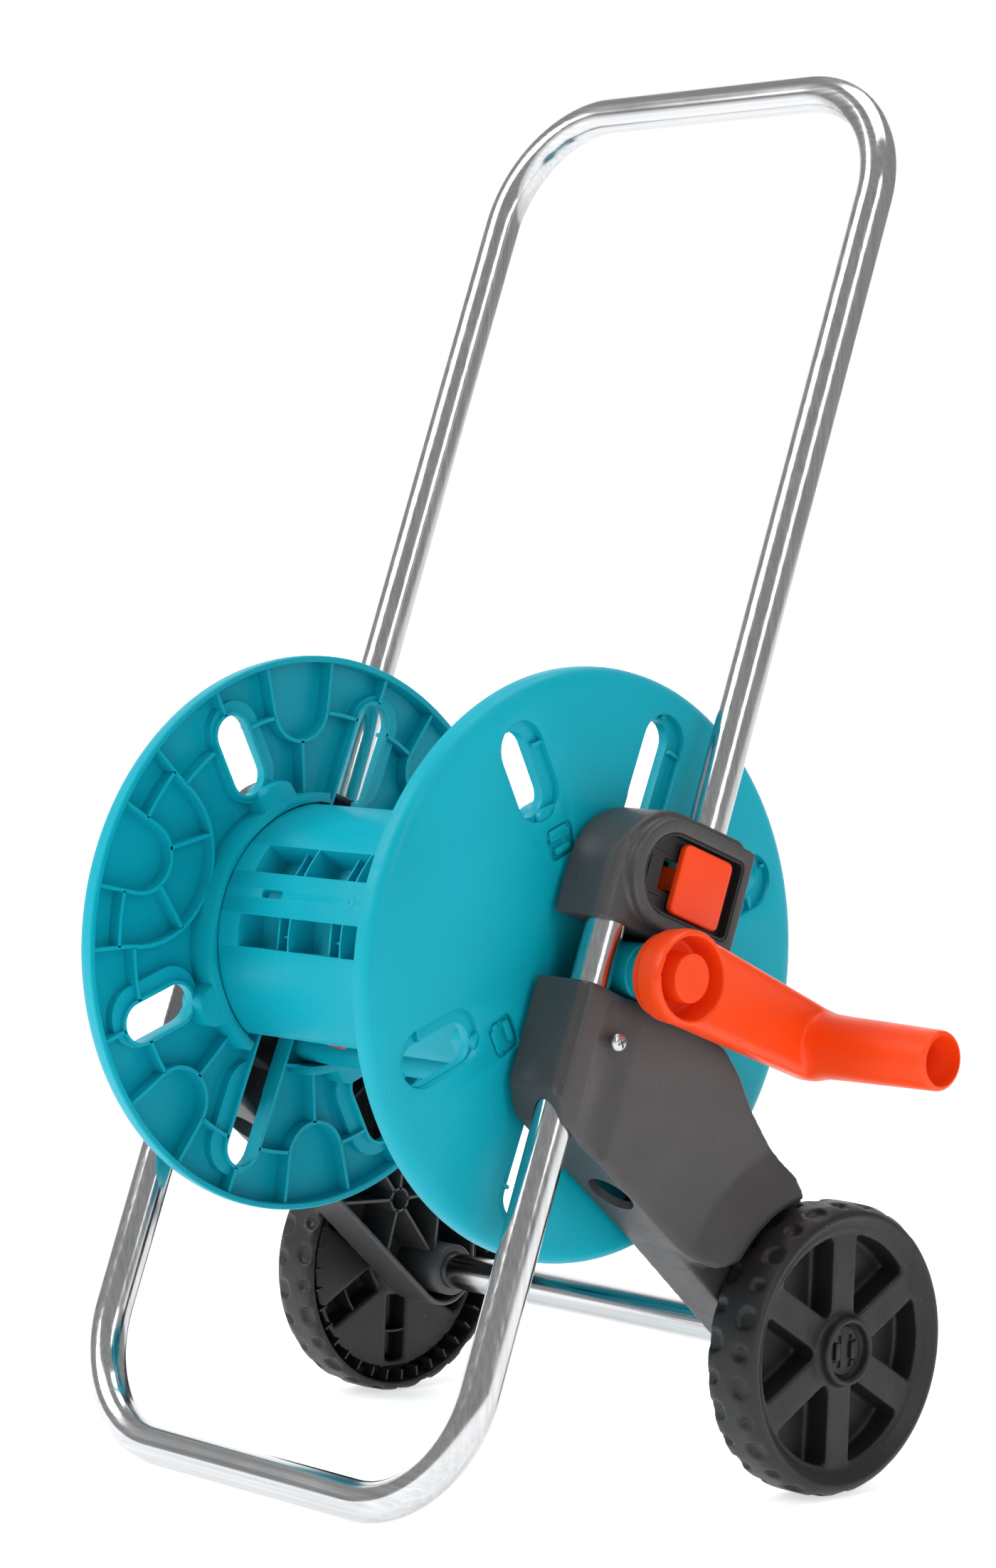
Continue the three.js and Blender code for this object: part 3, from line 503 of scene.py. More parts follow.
def plastic(name, colour, roughness, grain=1500, relief=0.05, speckle=0.05, dust=0.012, gloss=0.3):
    """Moulded plastic: faint flow marks, a fine grain, rubbed patches and a little dust."""
    material, tree, surface, place = shader(name)
    if tree is None:
        return material
    deep = [channel * (1 - 2.2 * speckle) for channel in colour] + [1]
    light = [min(1, channel * (1 + 1.6 * speckle) + 0.2 * dust) for channel in colour] + [1]
    flow = noise(tree, place, 11, 5)
    fine = noise(tree, place, grain, 2)
    tone = mixed(tree, spanned(tree, flow, 0, 1), deep, light)
    tone = mixed(tree, spanned(tree, fine, 0, 0.35, 0.45, 0.75), tone, light)
    specks = noise(tree, place, 950, 1)
    tone = mixed(tree, spanned(tree, specks, 0, 0.5, 0.78, 0.84), tone, [0.5, 0.5, 0.5, 1])
    tree.links.new(tone, surface.inputs["Base Color"])
    rubbed = spanned(tree, noise(tree, place, 42, 6), roughness - 0.05, roughness + 0.08)
    scuffs = spanned(tree, noise(tree, place, 60, 4, (1, 6, 1), 0.5), 0, 0.12, 0.6, 0.72)
    tree.links.new(added(tree, rubbed, scuffs), surface.inputs["Roughness"])
    soft = bump(tree, noise(tree, place, 55, 3), 0.25, 0.12)
    tree.links.new(bump(tree, fine, relief, 0.5, soft), surface.inputs["Normal"])
    surface.inputs["Specular IOR Level"].default_value = gloss
    return material


def drawn_metal(name, colour, streaks):
    """Polished drawn tube: long fine streaks, small dents in the shine and handling marks."""
    material, tree, surface, place = shader(name)
    if tree is None:
        return material
    surface.inputs["Metallic"].default_value = 1.0
    lines = streaks(tree, place)
    clouds = noise(tree, place, 26, 5)
    dull = [channel * 0.8 for channel in colour] + [1]
    tone = mixed(tree, spanned(tree, lines, 0, 1), dull, list(colour) + [1])
    tree.links.new(tone, surface.inputs["Base Color"])
    shine = added(tree, spanned(tree, lines, 0.09, 0.17), spanned(tree, clouds, 0.0, 0.06))
    tree.links.new(shine, surface.inputs["Roughness"])
    wavy = bump(tree, noise(tree, place, 45, 2), 0.10, 0.15)
    tree.links.new(bump(tree, lines, 0.003, 0.2, wavy), surface.inputs["Normal"])
    return material


def along_x(tree, place):
    """Streaks along a bar."""
    return noise(tree, place, 1, 3, (5, 520, 520))


def along_loop(tree, place):
    """Streaks along the leaning legs, giving way to streaks along the bar."""
    lean = bpy.context.scene.reel_cart_sizes.lean
    legs = noise(tree, place, 1, 3, (520, 520, 5), lean)
    bars = along_x(tree, place)
    apart = tree.nodes.new("ShaderNodeSeparateXYZ")
    tree.links.new(place, apart.inputs[0])
    high = spanned(tree, apart.outputs["Z"], 0, 1, 0.655, 0.70)
    low = spanned(tree, apart.outputs["Z"], 1, 0, 0.022, 0.06)
    mix = tree.nodes.new("ShaderNodeMix")
    tree.links.new(added(tree, high, low), mix.inputs[0])
    tree.links.new(legs, mix.inputs[2])
    tree.links.new(bars, mix.inputs[3])
    return mix.outputs[0]


def plated(name, colour):
    """Zinc-plated steel: mottled, with a satin shine."""
    material, tree, surface, place = shader(name)
    if tree is None:
        return material
    surface.inputs["Metallic"].default_value = 1.0
    mottle = noise(tree, place, 420, 4)
    dull = [channel * 0.72 for channel in colour] + [1]
    tone = mixed(tree, spanned(tree, mottle, 0, 1), dull, list(colour) + [1])
    tree.links.new(tone, surface.inputs["Base Color"])
    tree.links.new(spanned(tree, mottle, 0.22, 0.40), surface.inputs["Roughness"])
    tree.links.new(bump(tree, noise(tree, place, 1600, 2), 0.02, 0.4), surface.inputs["Normal"])
    return material


def finish(kind):
    """The material of this kind, made once."""
    colours = bpy.context.scene.reel_cart_colours
    makers = {
        "teal": lambda: plastic("teal_moulding", colours.teal, 0.42, 1300, 0.03, 0.035, 0.008, 0.2),
        "orange": lambda: plastic("orange_moulding", colours.orange, 0.36, 1400, 0.035, 0.04, 0.008, 0.3),
        "grey": lambda: plastic("grained_grey_moulding", colours.grey, 0.42, 1700, 0.07, 0.09, 0.02, 0.5),
        "black": lambda: plastic("black_moulding", colours.black, 0.46, 1500, 0.06, 0.10, 0.03, 0.4),
        "rubber": lambda: plastic("dull_rubber", colours.rubber, 0.75, 1100, 0.08, 0.12),
        "loop": lambda: drawn_metal("drawn_aluminium_loop", colours.metal, along_loop),
        "axle": lambda: drawn_metal("drawn_aluminium_axle", colours.metal, along_x),
        "zinc": lambda: plated("zinc_plate", colours.zinc),
    }
    return makers[kind]()


SLOTS = {
    "teal": "teal_plastic", "orange": "orange_plastic", "grey": "dark_grey_plastic", "black": "black_plastic",
    "rubber": "black_rubber", "loop": "tube_aluminium", "axle": "tube_aluminium", "zinc": "zinc_steel",
}


# ---------------------------------------------------------------- tubes


def bent_tube(spacing, across, leg_end, bar, size):
    """A U-shaped loop: two legs along Z and a bar along X with a round bend at each end."""
    way = 1 if bar > leg_end else -1
    bend = size["bend"]
    deselect()
    bpy.ops.mesh.primitive_circle_add(
        vertices=56, radius=size["tube"] / 2 * MM, location=Vector((spacing, across, leg_end)) * MM)
    freeze()
    bpy.ops.object.mode_set(mode="EDIT")
    bpy.ops.mesh.select_all(action="SELECT")
    leg = (bar - leg_end) - way * bend
    corner = (bar - way * bend) * MM

    def pull(x, z):
        bpy.ops.mesh.extrude_region_move(TRANSFORM_OT_translate={"value": (x * MM, 0, z * MM)})

    def swing(x):
        bpy.ops.mesh.spin(
            steps=20, angle=way * math.pi / 2, center=(x * MM, across * MM, corner), axis=(0, 1, 0))

    pull(0, leg)
    swing(spacing - bend)
    pull(-2 * (spacing - bend), 0)
    swing(-spacing + bend)
    pull(0, -leg)
    tube = close_up()
    return apply(tube, "SOLIDIFY", thickness=size["tube_wall"] * MM, offset=-1, use_even_offset=True)


class REELCART_OT_tubes(bpy.types.Operator):
    """Bends the foot loop and the handle loop and draws the axle tube"""

    bl_idname = "reel_cart.tubes"
    bl_label = "Tubes"

    def execute(self, context):
        size = sizes()
        lean, pitch, radius = size["lean"], size["tube_pitch"] / 2, size["tube"] / 2
        drum_height = MIDDLE.z / MM
        foot_bar = (radius - drum_height - pitch * math.sin(lean)) / math.cos(lean)
        handle_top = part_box("handle_loop_tube")[1][2] / MM
        handle_bar = (handle_top - radius - drum_height + pitch * math.sin(lean)) / math.cos(lean)
        foot = bent_tube(size["foot_spacing"], -pitch, 54, foot_bar, size)
        settle(foot, "foot_loop_shape", "frame", "loop", ["foot_loop_tube"], turn=-lean)
        handle = bent_tube(size["handle_spacing"], pitch, -45, handle_bar, size)
        settle(handle, "handle_loop_shape", "handle", "loop", ["handle_loop_tube"], turn=-lean)
        end = (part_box("axle_tube")[1][0] - MIDDLE.x) / MM
        axle = turned([(radius - size["tube_wall"], -end), (radius - 0.3, -end), (radius, -end + 0.4),
                       (radius, end - 0.4), (radius - 0.3, end), (radius - size["tube_wall"], end)],
                      axle_centre(size), 64)
        settle(axle, "axle_tube_shape", "frame", "axle", ["axle_tube"])
        return {"FINISHED"}


# ---------------------------------------------------------------- upper brackets


def window_outline(inset, steps=24):
    """The latch window: round in front, square behind, in the leaning frame."""
    bottom, top, front, back = 27.6 + inset, 69 - inset, -28 + inset, 39.8 - inset
    radius = (top - bottom) / 2
    centre = (front + radius, (top + bottom) / 2)
    corner = max(1.5, 3.2 - inset * 0.3)
    return (arc((back - corner, bottom + corner), corner, -90, 0, 5)
            + arc((back - corner, top - corner), corner, 0, 90, 5) + arc(centre, radius, 90, 270, steps))


def bracket_outline():
    """The bracket in side view, square below and domed in front, in the leaning frame."""
    front, back, bottom, top, dome = -41, 45, 17, 80, 36
    return ([(front, bottom), (back, bottom)] + arc((back - 7, top - 7), 7, 0, 90, 6)
            + arc((front + dome, top - dome), dome, 90, 180, 20))


class REELCART_OT_brackets(bpy.types.Operator):
    """Moulds the upper brackets with their window liners and lock buttons"""

    bl_idname = "reel_cart.brackets"
    bl_label = "Upper brackets"

    def execute(self, context):
        size = sizes()
        lean, pitch = size["lean"], size["tube_pitch"] / 2
        face = [(117, -41), (143.5, -41), (147.5, -40), (150.2, -37), (151.6, -32), (151.9, -27),
                (151.2, -20), (150.2, -12), (150.6, -2), (151.2, 10), (151.4, 45), (117, 45)]
        body = extruded([(x, t, 17) for x, t in face], (0, 0, 63))
        keep_inside(body, slab(bracket_outline(), 110, 165))
        surround = slab(window_outline(-7), 140, 158)
        weld(body, keep_inside(surround, slab(bracket_outline(), 110, 165)))
        hollow = slab([(-37.5, 20.5), (41.5, 20.5), (41.5, 76.5)] + arc((-5, 44), 32.5, 90, 180, 12),
                      110, 147)
        carve(body, hollow, slab(window_outline(0), 143, 170))
        mould(body, 0.95, 7)
        foot, handle = size["foot_spacing"], size["handle_spacing"]
        carve(body, rod(size["tube"] / 2 + 0.3, (foot, -pitch, 0), (foot, -pitch, 56)),
              rod(size["tube"] / 2 + 0.6, (handle, pitch, 0), (handle, pitch, 95)))
        pair(body, "upper_bracket", "frame", "grey", turn=-lean, smooth=50)

        tray = slab(window_outline(0.3), 150.3, 157)
        carve(tray, slab(window_outline(1.5), 151.7, 170), block((140, -11, 40), (170, 12, 56)))
        rails = [block((151, -27, level - 0.5), (152.6, -9, level + 0.5)) for level in (37.5, 59)]
        rails.append(block((151, -20.5, 37.5), (152.3, -19.5, 59)))
        pair(merge([tray] + rails), "latch_window_liner", "frame", "black", turn=-lean)

        front, half, middle = -3.6, size["button"] / 2, 48.3
        corners = rectangle(front, middle - half, front + 2 * half, middle + half)
        button = slab(rounded(corners, 4.2), 152.8, 157.4)
        soften(button, 1.3, 4, 50)
        stem = block((size["handle_spacing"] - 5, 1.0, middle - 6), (154, 9.0, middle + 6))
        pair(merge([button, stem]), "latch_button", "lock_{}", "orange", turn=-lean)
        return {"FINISHED"}


# ---------------------------------------------------------------- leg housings

TYRE_GAP = 3
STAR = (88, -152)     # where most ribs meet, round a screw boss
KNOT = (45, -98)      # the other meeting point of the ribs
RIB_SPAN = (118.6, 144.8)
RIB_THICKNESS = 1.6


def tube_bore(size, which, gap, low):
    """A bar round a leg of the foot or handle loop, wider than the tube by a gap all round."""
    across = size["tube_pitch"] / 2 * (1 if which == "handle" else -1)
    spacing, lean = size[f"{which}_spacing"], size["lean"]
    return rod(size["tube"] / 2 + gap, upright_point(spacing, across, low, lean),
               upright_point(spacing, across, 5, lean))


def housing_base(size, inset=0.0):
    """Side view of the housing's inner part, from the hub down to the axle."""
    lean = size["lean"]
    centre = axle_centre(size)
    slope = math.atan2(-101, 119)
    degrees = math.degrees(slope)
    front = -34 + inset
    low = -80 + (front + 40) * math.tan(slope) + inset / math.cos(slope)
    return ([upright(-41 + inset, -15 - inset, lean), upright(-41 + inset, -69, lean),
             upright(-31 + inset, -84 + inset, lean), (front, low)]
            + arc(centre, 21 - inset, degrees - 90, 0, 16)
            + [(centre[0] + 21 - inset, centre[1] + 16), (119 - inset, -113 - inset),
               (109 - inset, -106 - inset), (98 - inset, -96 - inset), (88 - inset, -86.5 - inset),
               (77 - inset, -72 - inset), (67 - inset, -54 - inset), (56 - inset, -40 - inset),
               upright(46 - inset, -15 - inset, lean)])


def housing_panel(size):
    """Side view of the raised outer panel, which stops short of the underside and of the tyre."""
    lean = size["lean"]
    centre = axle_centre(size)
    edge = size["wheel"] + TYRE_GAP
    return ([upright(-41, -15, lean), upright(-41, -69, lean), upright(-31, -84, lean), (-18, -101),
             (4, -118.5), (26, -136.5), (38, -144), (50, -148.2)]
            + arc(centre, edge, 142, 101, 18)
            + [(104.5, -105), (96, -96), (88, -86.5), (77, -72), (67, -54), (56, -40),
               upright(46, -15, lean)])


class REELCART_OT_housings(bpy.types.Operator):
    """Moulds the leg housings with their panel, tyre flare and inner ribs"""

    bl_idname = "reel_cart.housings"
    bl_label = "Leg housings"

    def execute(self, context):
        size = sizes()
        lean = size["lean"]
        centre = axle_centre(size)
        edge = size["wheel"] + TYRE_GAP
        body = slab(housing_base(size), 117, 148)
        weld(body, slab(housing_panel(size), 117.5, 153.2))
        flare = turned([(edge, 140), (edge, 160), (edge + 1.5, 161), (edge + 6, 160.6),
                        (edge + 13, 158.4), (edge + 20, 155.6), (edge + 28, 153.4), (edge + 36, 152.2),
                        (edge + 36, 140)], centre, 120)
        weld(body, keep_inside(flare, slab(housing_panel(size), 130, 170)))
        valley = rod(26, upright_point(175.6, -13, 0, lean), upright_point(176.4, -11, -95, lean), 80)
        shoulder = slab([upright(-60, 5, lean), upright(-60, -120, lean), upright(-38.6, -120, lean),
                         upright(-38.6, 5, lean)], 149, 160)
        hollow = slab(housing_base(size, 3), 110, 144.6)
        carve(body, valley, shoulder, hollow)
        mould(body, 1.25, 9)
        carve(body, tube_bore(size, "foot", 0.3, -130), tube_bore(size, "handle", 2.2, -150),
              turned(rectangle(0, 118, 8.4, 165), centre, 48))

        runs = ([(STAR, end) for end in (KNOT, (93, -90), (126, -149), (24, -150.5), (78, -190), (112, -182))]
                + [(KNOT, end) for end in ((-38, -60), (62, -40), (80, -72), (8, -128), (8, -50), (-30, -98))]
                + [((119, -150), (116, -182))])
        ribs = [self.rib(size, start, end) for start, end in runs]
        collar = turned([(10.3, 112), (13.6, 112), (14.2, 112.6), (14.6, 145.4), (10.3, 145.4)], centre, 64)
        boss = [turned([(2.3, 131.5), (5.0, 131.5), (5.4, 145.4), (2.3, 145.4)], place, 32)
                for place in (upright(-12, -38, lean), STAR, (62, -122))]
        low = RIB_SPAN[0]
        boss.append(turned([(5.6, low), (6.9, low), (7.1, 134), (5.6, 134)], STAR, 32))
        boss.append(turned([(3.4, low), (4.8, low), (5.1, 145.4), (3.4, 145.4)], KNOT, 32))
        pair(merge([body, collar] + ribs + boss), "leg_housing", "frame", "grey", smooth=50)
        return {"FINISHED"}

    def rib(self, size, start, end):
        """One thin wall inside the housing, clear of the tubes, the axle and the bearing plate."""
        lean = size["lean"]
        side = (Vector(end) - Vector(start)).orthogonal().normalized() * (RIB_THICKNESS / 2)
        corners = [Vector(start) - side, Vector(end) - side, Vector(end) + side, Vector(start) + side]
        wall = keep_inside(slab([tuple(corner) for corner in corners], *RIB_SPAN),
                           slab(housing_base(size, 1.5), 112, 145))
        plate = [upright(across, along, lean) for across, along in ((-17, -64), (17, -64), (17, 5), (-17, 5))]
        return carve(
            wall,
            tube_bore(size, "handle", 1.5, -150),
            tube_bore(size, "foot", 0.6, -130),
            turned(rectangle(0, 105, 12, 150), axle_centre(size), 48),
            turned(rectangle(0, 112, 5.8, 131.5), STAR, 32),
            turned(rectangle(0, 112, 3.6, 150), KNOT, 32),
            slab(plate, 100, 131))


# ---------------------------------------------------------------- drum

SLOT_ANGLES = (21.5, 70, 118.5, 201.5, 250, 298.5)
LONG_SLOT_ANGLES = (70, 250)
LATCH_ANGLES = (28, 112, 208, 292)
LATCH_RADIUS = 67.5
SLOT_WIDTH = 21
SLOT_START = 95.5
LONG_SLOT_START = 57.5
SLOT_END = 119.5
TROUGH_START = 90
TROUGH_WIDTH = 29
TROUGH_SHIFT = 3.5          # the trough lies to one side of its slot
CORE_MIDDLES = (160, 340)   # middles of the two core halves, in degrees
CORE_HALF = 73              # degrees to each side of a middle


class REELCART_OT_flanges(bpy.types.Operator):
    """Moulds the two drum flanges with slots, troughs, ribs and core seats"""

    bl_idname = "reel_cart.flanges"
    bl_label = "Drum flanges"

    def execute(self, context):
        size = sizes()
        face, rim = size["flange_face"], size["flange"]
        web, lip = face - 2.4, face - 12.5
        disc = turned([(9.3, web), (rim - 3.8, web), (rim - 3.4, lip + 0.6), (rim - 2.8, lip),
                       (rim - 0.7, lip), (rim, lip + 0.7), (rim, face - 7.4), (rim - 0.6, face - 4.2),
                       (rim - 2.3, face - 1.9), (rim - 5.4, face - 0.6), (rim - 10, face), (9.3, face)], steps=144)
        low = face - 10.5
        collars, troughs, holes = [], [], []
        for degrees in SLOT_ANGLES:
            inner = LONG_SLOT_START if degrees in LONG_SLOT_ANGLES else SLOT_START
            sideways = polar(TROUGH_SHIFT, degrees - 90)
            trough, wider = ([(y + sideways[0], z + sideways[1])
                              for y, z in slot(max(inner, TROUGH_START), SLOT_END, width, degrees, 16)]
                             for width in (TROUGH_WIDTH, TROUGH_WIDTH + 4))
            collars.append(slab(wider, face - 7.6, web + 0.5))
            collars.append(slab(slot(inner, SLOT_END, SLOT_WIDTH + 3.6, degrees, 16), low, web + 0.5))
            troughs.append(slab(trough, face - 4.8, face + 4))
            holes.append(slab(slot(inner, SLOT_END, SLOT_WIDTH, degrees, 16), lip - 4, face + 4))
        for degrees in LATCH_ANGLES:
            holes.append(slab(self.facing(rounded(rectangle(-8.5, -9.5, 8.5, 9.5), 5), degrees),
                              lip - 4, face + 4))
        weld(disc, *collars)
        carve(disc, *troughs)
        soften(disc, 1.6, 3, 50)
        carve(disc, *holes)
        soften(disc, 0.7, 3, 50)
        pair(merge([disc, self.ribs(size, web, low), self.snaps(face)]), "drum_flange", "drum",
             "teal", smooth=38)
        return {"FINISHED"}

    def facing(self, outline, degrees, radius=LATCH_RADIUS):
        """An outline of (radial, sideways) points, placed on a ray from the axis."""
        sine, cosine = math.sin(math.radians(degrees)), math.cos(math.radians(degrees))
        return [((radius + a) * cosine - b * sine, (radius + a) * sine + b * cosine) for a, b in outline]

    def ribs(self, size, web, low):
        """Pockets, arcs and rays on the inner face, the same on both halves."""
        rim = size["flange"] - 3.2
        ring, small, big = 118, 121.5, 121
        lines = []
        for half in (0, 180):
            for middle in (95, 45.5, 160):
                lines.append([polar(rim, middle + half + 9)] + self.bowl(small, 18.6, middle + half, 84)
                             + [polar(rim, middle + half - 9)])
            lines.append([polar(rim, 182.2 + half)] + self.bowl(big, 46, 160 + half, 78)
                         + [polar(rim, 137.8 + half)])
            for start, end in ((126, 137.6), (104, 112.5), (75.5, 86), (54.5, 64.5), (182.4, 196),
                               (207, 216.5)):
                lines.append(arc((0, 0), ring, start + half, end + half, 6))
            for start, end in ((138, 151), (169, 182)):
                lines.append(arc((0, 0), 128, start + half, end + half, 6))
            for angle, start, end in ((118.5, 131, rim), (70, 131, rim), (201.5, 131, rim), (95, 76, 103),
                                      (45.5, 72, 103), (160, 74, 75.5)):
                lines.append([polar(start, angle + half), polar(end, angle + half)])
            for first, last in (((107, 154.5), (88, 143)), ((105.5, 165.5), (87, 177))):
                lines.append([polar(first[0], first[1] + half), polar(last[0], last[1] + half)])
            lines.append(arc((0, 0), 71.5, 42 + half, 58 + half, 5))
            lines.append(arc((0, 0), 71.5, 80 + half, 96 + half, 5))
        walls_piece = walls(lines, 1.9, low, web + 0.6)
        edges = []
        outer = size["core"] + 5.4
        for middle in CORE_MIDDLES:
            seat = slab(band(size["core"] + 0.9, outer, middle - CORE_HALF, middle + CORE_HALF, 60),
                        web - 17, web + 0.6)
            ear = rounded([(-4, -14), (16, -8.5), (16, 8.5), (-4, 14)], 7)
            ears = [slab(self.facing(ear, middle + turn, 70), web - 15, web + 0.6) for turn in (-48, 48)]
            weld(seat, *ears)
            edges.append(carve(seat, turned(rectangle(0, web - 20, size["core"] + 0.9, web + 4))))
        seats = soften(merge(edges), 0.6, 2, 50)
        return merge([walls_piece, seats])

    def bowl(self, centre, radius, middle, half):
        """The curved inner end of a pocket, facing the axis."""
        return arc(polar(centre, middle), radius, middle + 180 - half, middle + 180 + half, 18)

    def snaps(self, face):
        """The two-pronged snap hooks of the core that show in the latch windows."""
        made = []
        for inner, outer, long in ((61.5, 65.0, 5.0), (68.5, 72.4, 6.6)):
            made.append(slab(rounded(rectangle(-long, inner, long + 1, outer), 1.4),
                             face - 13, face - 0.6))
        made.append(slab(rectangle(2.5, 62, 6.5, 72), face - 13, face - 2.6))
        made.append(slab(rounded(rectangle(-6.6, 70.6, 5.6, 74.6), 1.4), face - 3, face - 0.2))
        hook = soften(merge(made), 0.5, 2, 50)
        return spread(hook, [angle - 90 for angle in LATCH_ANGLES])


CORE_ROWS = (-17.4, 15.6)                                  # degrees from a half's middle
CORE_COLUMNS = [(column - 1.5) * 40 + 2 for column in range(4)]


class REELCART_OT_core(bpy.types.Operator):
    """Moulds the two halves of the drum core with their rows of windows"""

    bl_idname = "reel_cart.core"
    bl_label = "Drum core"

    def execute(self, context):
        size = sizes()
        end = size["flange_face"] - 3.3
        outer, thick = size["core"], 20
        middle_radius = outer - thick / 2
        for middle, name in zip(CORE_MIDDLES, ("front", "back")):
            reach = CORE_HALF - math.degrees(thick / 2 / middle_radius)
            first, last = middle - reach, middle + reach
            outline = (arc((0, 0), outer, first, last, 64)
                       + arc(polar(middle_radius, last), thick / 2, last, last + 180, 16)
                       + arc((0, 0), outer - thick, last, first, 48)
                       + arc(polar(middle_radius, first), thick / 2, first + 180, first + 360, 16))
            shell = slab(outline, -end, end)
            pockets = [swung(block((x - 19.4, -8.4, outer - 17), (x + 19.4, 8.4, outer + 3)),
                             middle + offset - 90)
                       for offset in CORE_ROWS for x in CORE_COLUMNS]
            pockets.append(swung(extruded(
                [(x - 57, y, outer - 4) for x, y in rounded(rectangle(-8, -2.2, 8, 2.2), 2.2)],
                (0, 0, 10)), middle - 1 - 90))
            carve(shell, merge(pockets))
            soften(shell, 0.35, 2, 40)
            inner = []
            for offset in CORE_ROWS:
                for x in CORE_COLUMNS:
                    for low, high in (((x + 5, -8.4, outer - 17.5), (x + 6.4, 8.4, outer - 6)),
                                      ((x + 6, -2, outer - 17.5), (x + 15, -0.8, outer - 9))):
                        inner.append(swung(block(low, high), middle + offset - 90))
            gate = [swung(rod(radius, (2.3, 0, outer - 0.8), (2.3, 0, outer + rise), 32), middle - 1 - 90)
                    for radius, rise in ((4.2, 0.08), (0.7, 0.4))]
            settle(merge([shell] + inner + gate), f"drum_core_{name}_shape", "drum", "teal",
                   [f"drum_core_{name}"], smooth=30)
        sleeve_end = 158.1
        sleeve = turned([(9.3, 133), (13.8, 133), (14.4, 133.6), (14.4, 148), (13.4, 148.8),
                         (13.4, 150.4), (14.4, 151.2), (14.4, sleeve_end - 0.6), (13.8, sleeve_end),
                         (9.3, sleeve_end)], steps=72)
        settle(sleeve, "crank_sleeve_shape", "drum", "teal", ["crank_sleeve"])
        return {"FINISHED"}

# ---------------------------------------------------------------- crank


class REELCART_OT_crank(bpy.types.Operator):
    """Moulds the crank: recessed head, tapering arm and hollow handgrip"""

    bl_idname = "reel_cart.crank"
    bl_label = "Crank"

    def execute(self, context):
        size = sizes()
        reach, grip_length = size["crank_reach"], size["grip"]
        back, front = 158.8, 180.8
        head = turned([(0, back), (20.2, back), (20.8, back + 0.6), (20.8, back + 4), (22.4, back + 5),
                       (23.8, front - 6), (23.4, front - 2), (22.2, front), (0, front)], steps=96)
        tip = 18.6
        arm_line = (arc((0, 0), 22.6, 94, 266, 24) + arc((reach, 0), tip, -88, 88, 20))
        arm = slab(arm_line, back + 4.5, front)
        soften(arm, 5.2, 6, 50)
        end = front + grip_length
        grip = turned([(0, front - 8), (tip - 0.4, front - 8), (tip - 0.4, front - 2.6), (17.2, front + 1.4),
                       (16.5, front + 5), (16.2, front + 14), (15.2, end - 8), (15.0, end - 1.6),
                       (14.3, end - 0.4), (13.2, end), (0, end)], (reach, 0), 96)
        body = weld(head, arm, grip)
        recess = turned([(0, front - 17), (19.4, front - 17), (20.4, front - 1.2), (20.8, front + 4),
                         (0, front + 4)], steps=96)
        recess.scale = (1, 1.075, 1)
        freeze()
        under = slab(rounded([(32, -16), (reach - 22, -13.5), (reach - 22, 13.5), (32, 16)], 4),
                     back - 3, front - 4.5)
        carve(body, recess, under)
        mould(body, 0.85, 7)
        bore = turned([(0, front + 8), (10.6, front + 8), (11.0, end - 11), (12.2, end - 10), (12.4, end - 2),
                       (12.9, end + 2), (0, end + 2)], (reach, 0), 72)
        carve(body, bore, turned(rectangle(0, back - 2, 9.3, front - 8), steps=48))
        rings = [(0, front - 1.1)]
        for step in range(7):
            radius = 1.4 + step * 1.5
            rings += [(radius, front - 1.1), (radius + 0.35, front - 1.22), (radius + 0.7, front - 1.1)]
        boss = turned([(9.3, back + 2), (12.4, back + 2), (12.2, front - 2), (11.9, front - 1.3)]
                      + rings[::-1] + [(0, front - 7.4), (9.3, front - 7.4)], steps=72)
        settle(merge([body, boss]), "crank_shape", "drum", "orange", ["crank"],
               turn=-size["crank_drop"], smooth=50)
        return {"FINISHED"}


# ---------------------------------------------------------------- wheels

SPOKES = 6
TREAD_STATIONS = 26


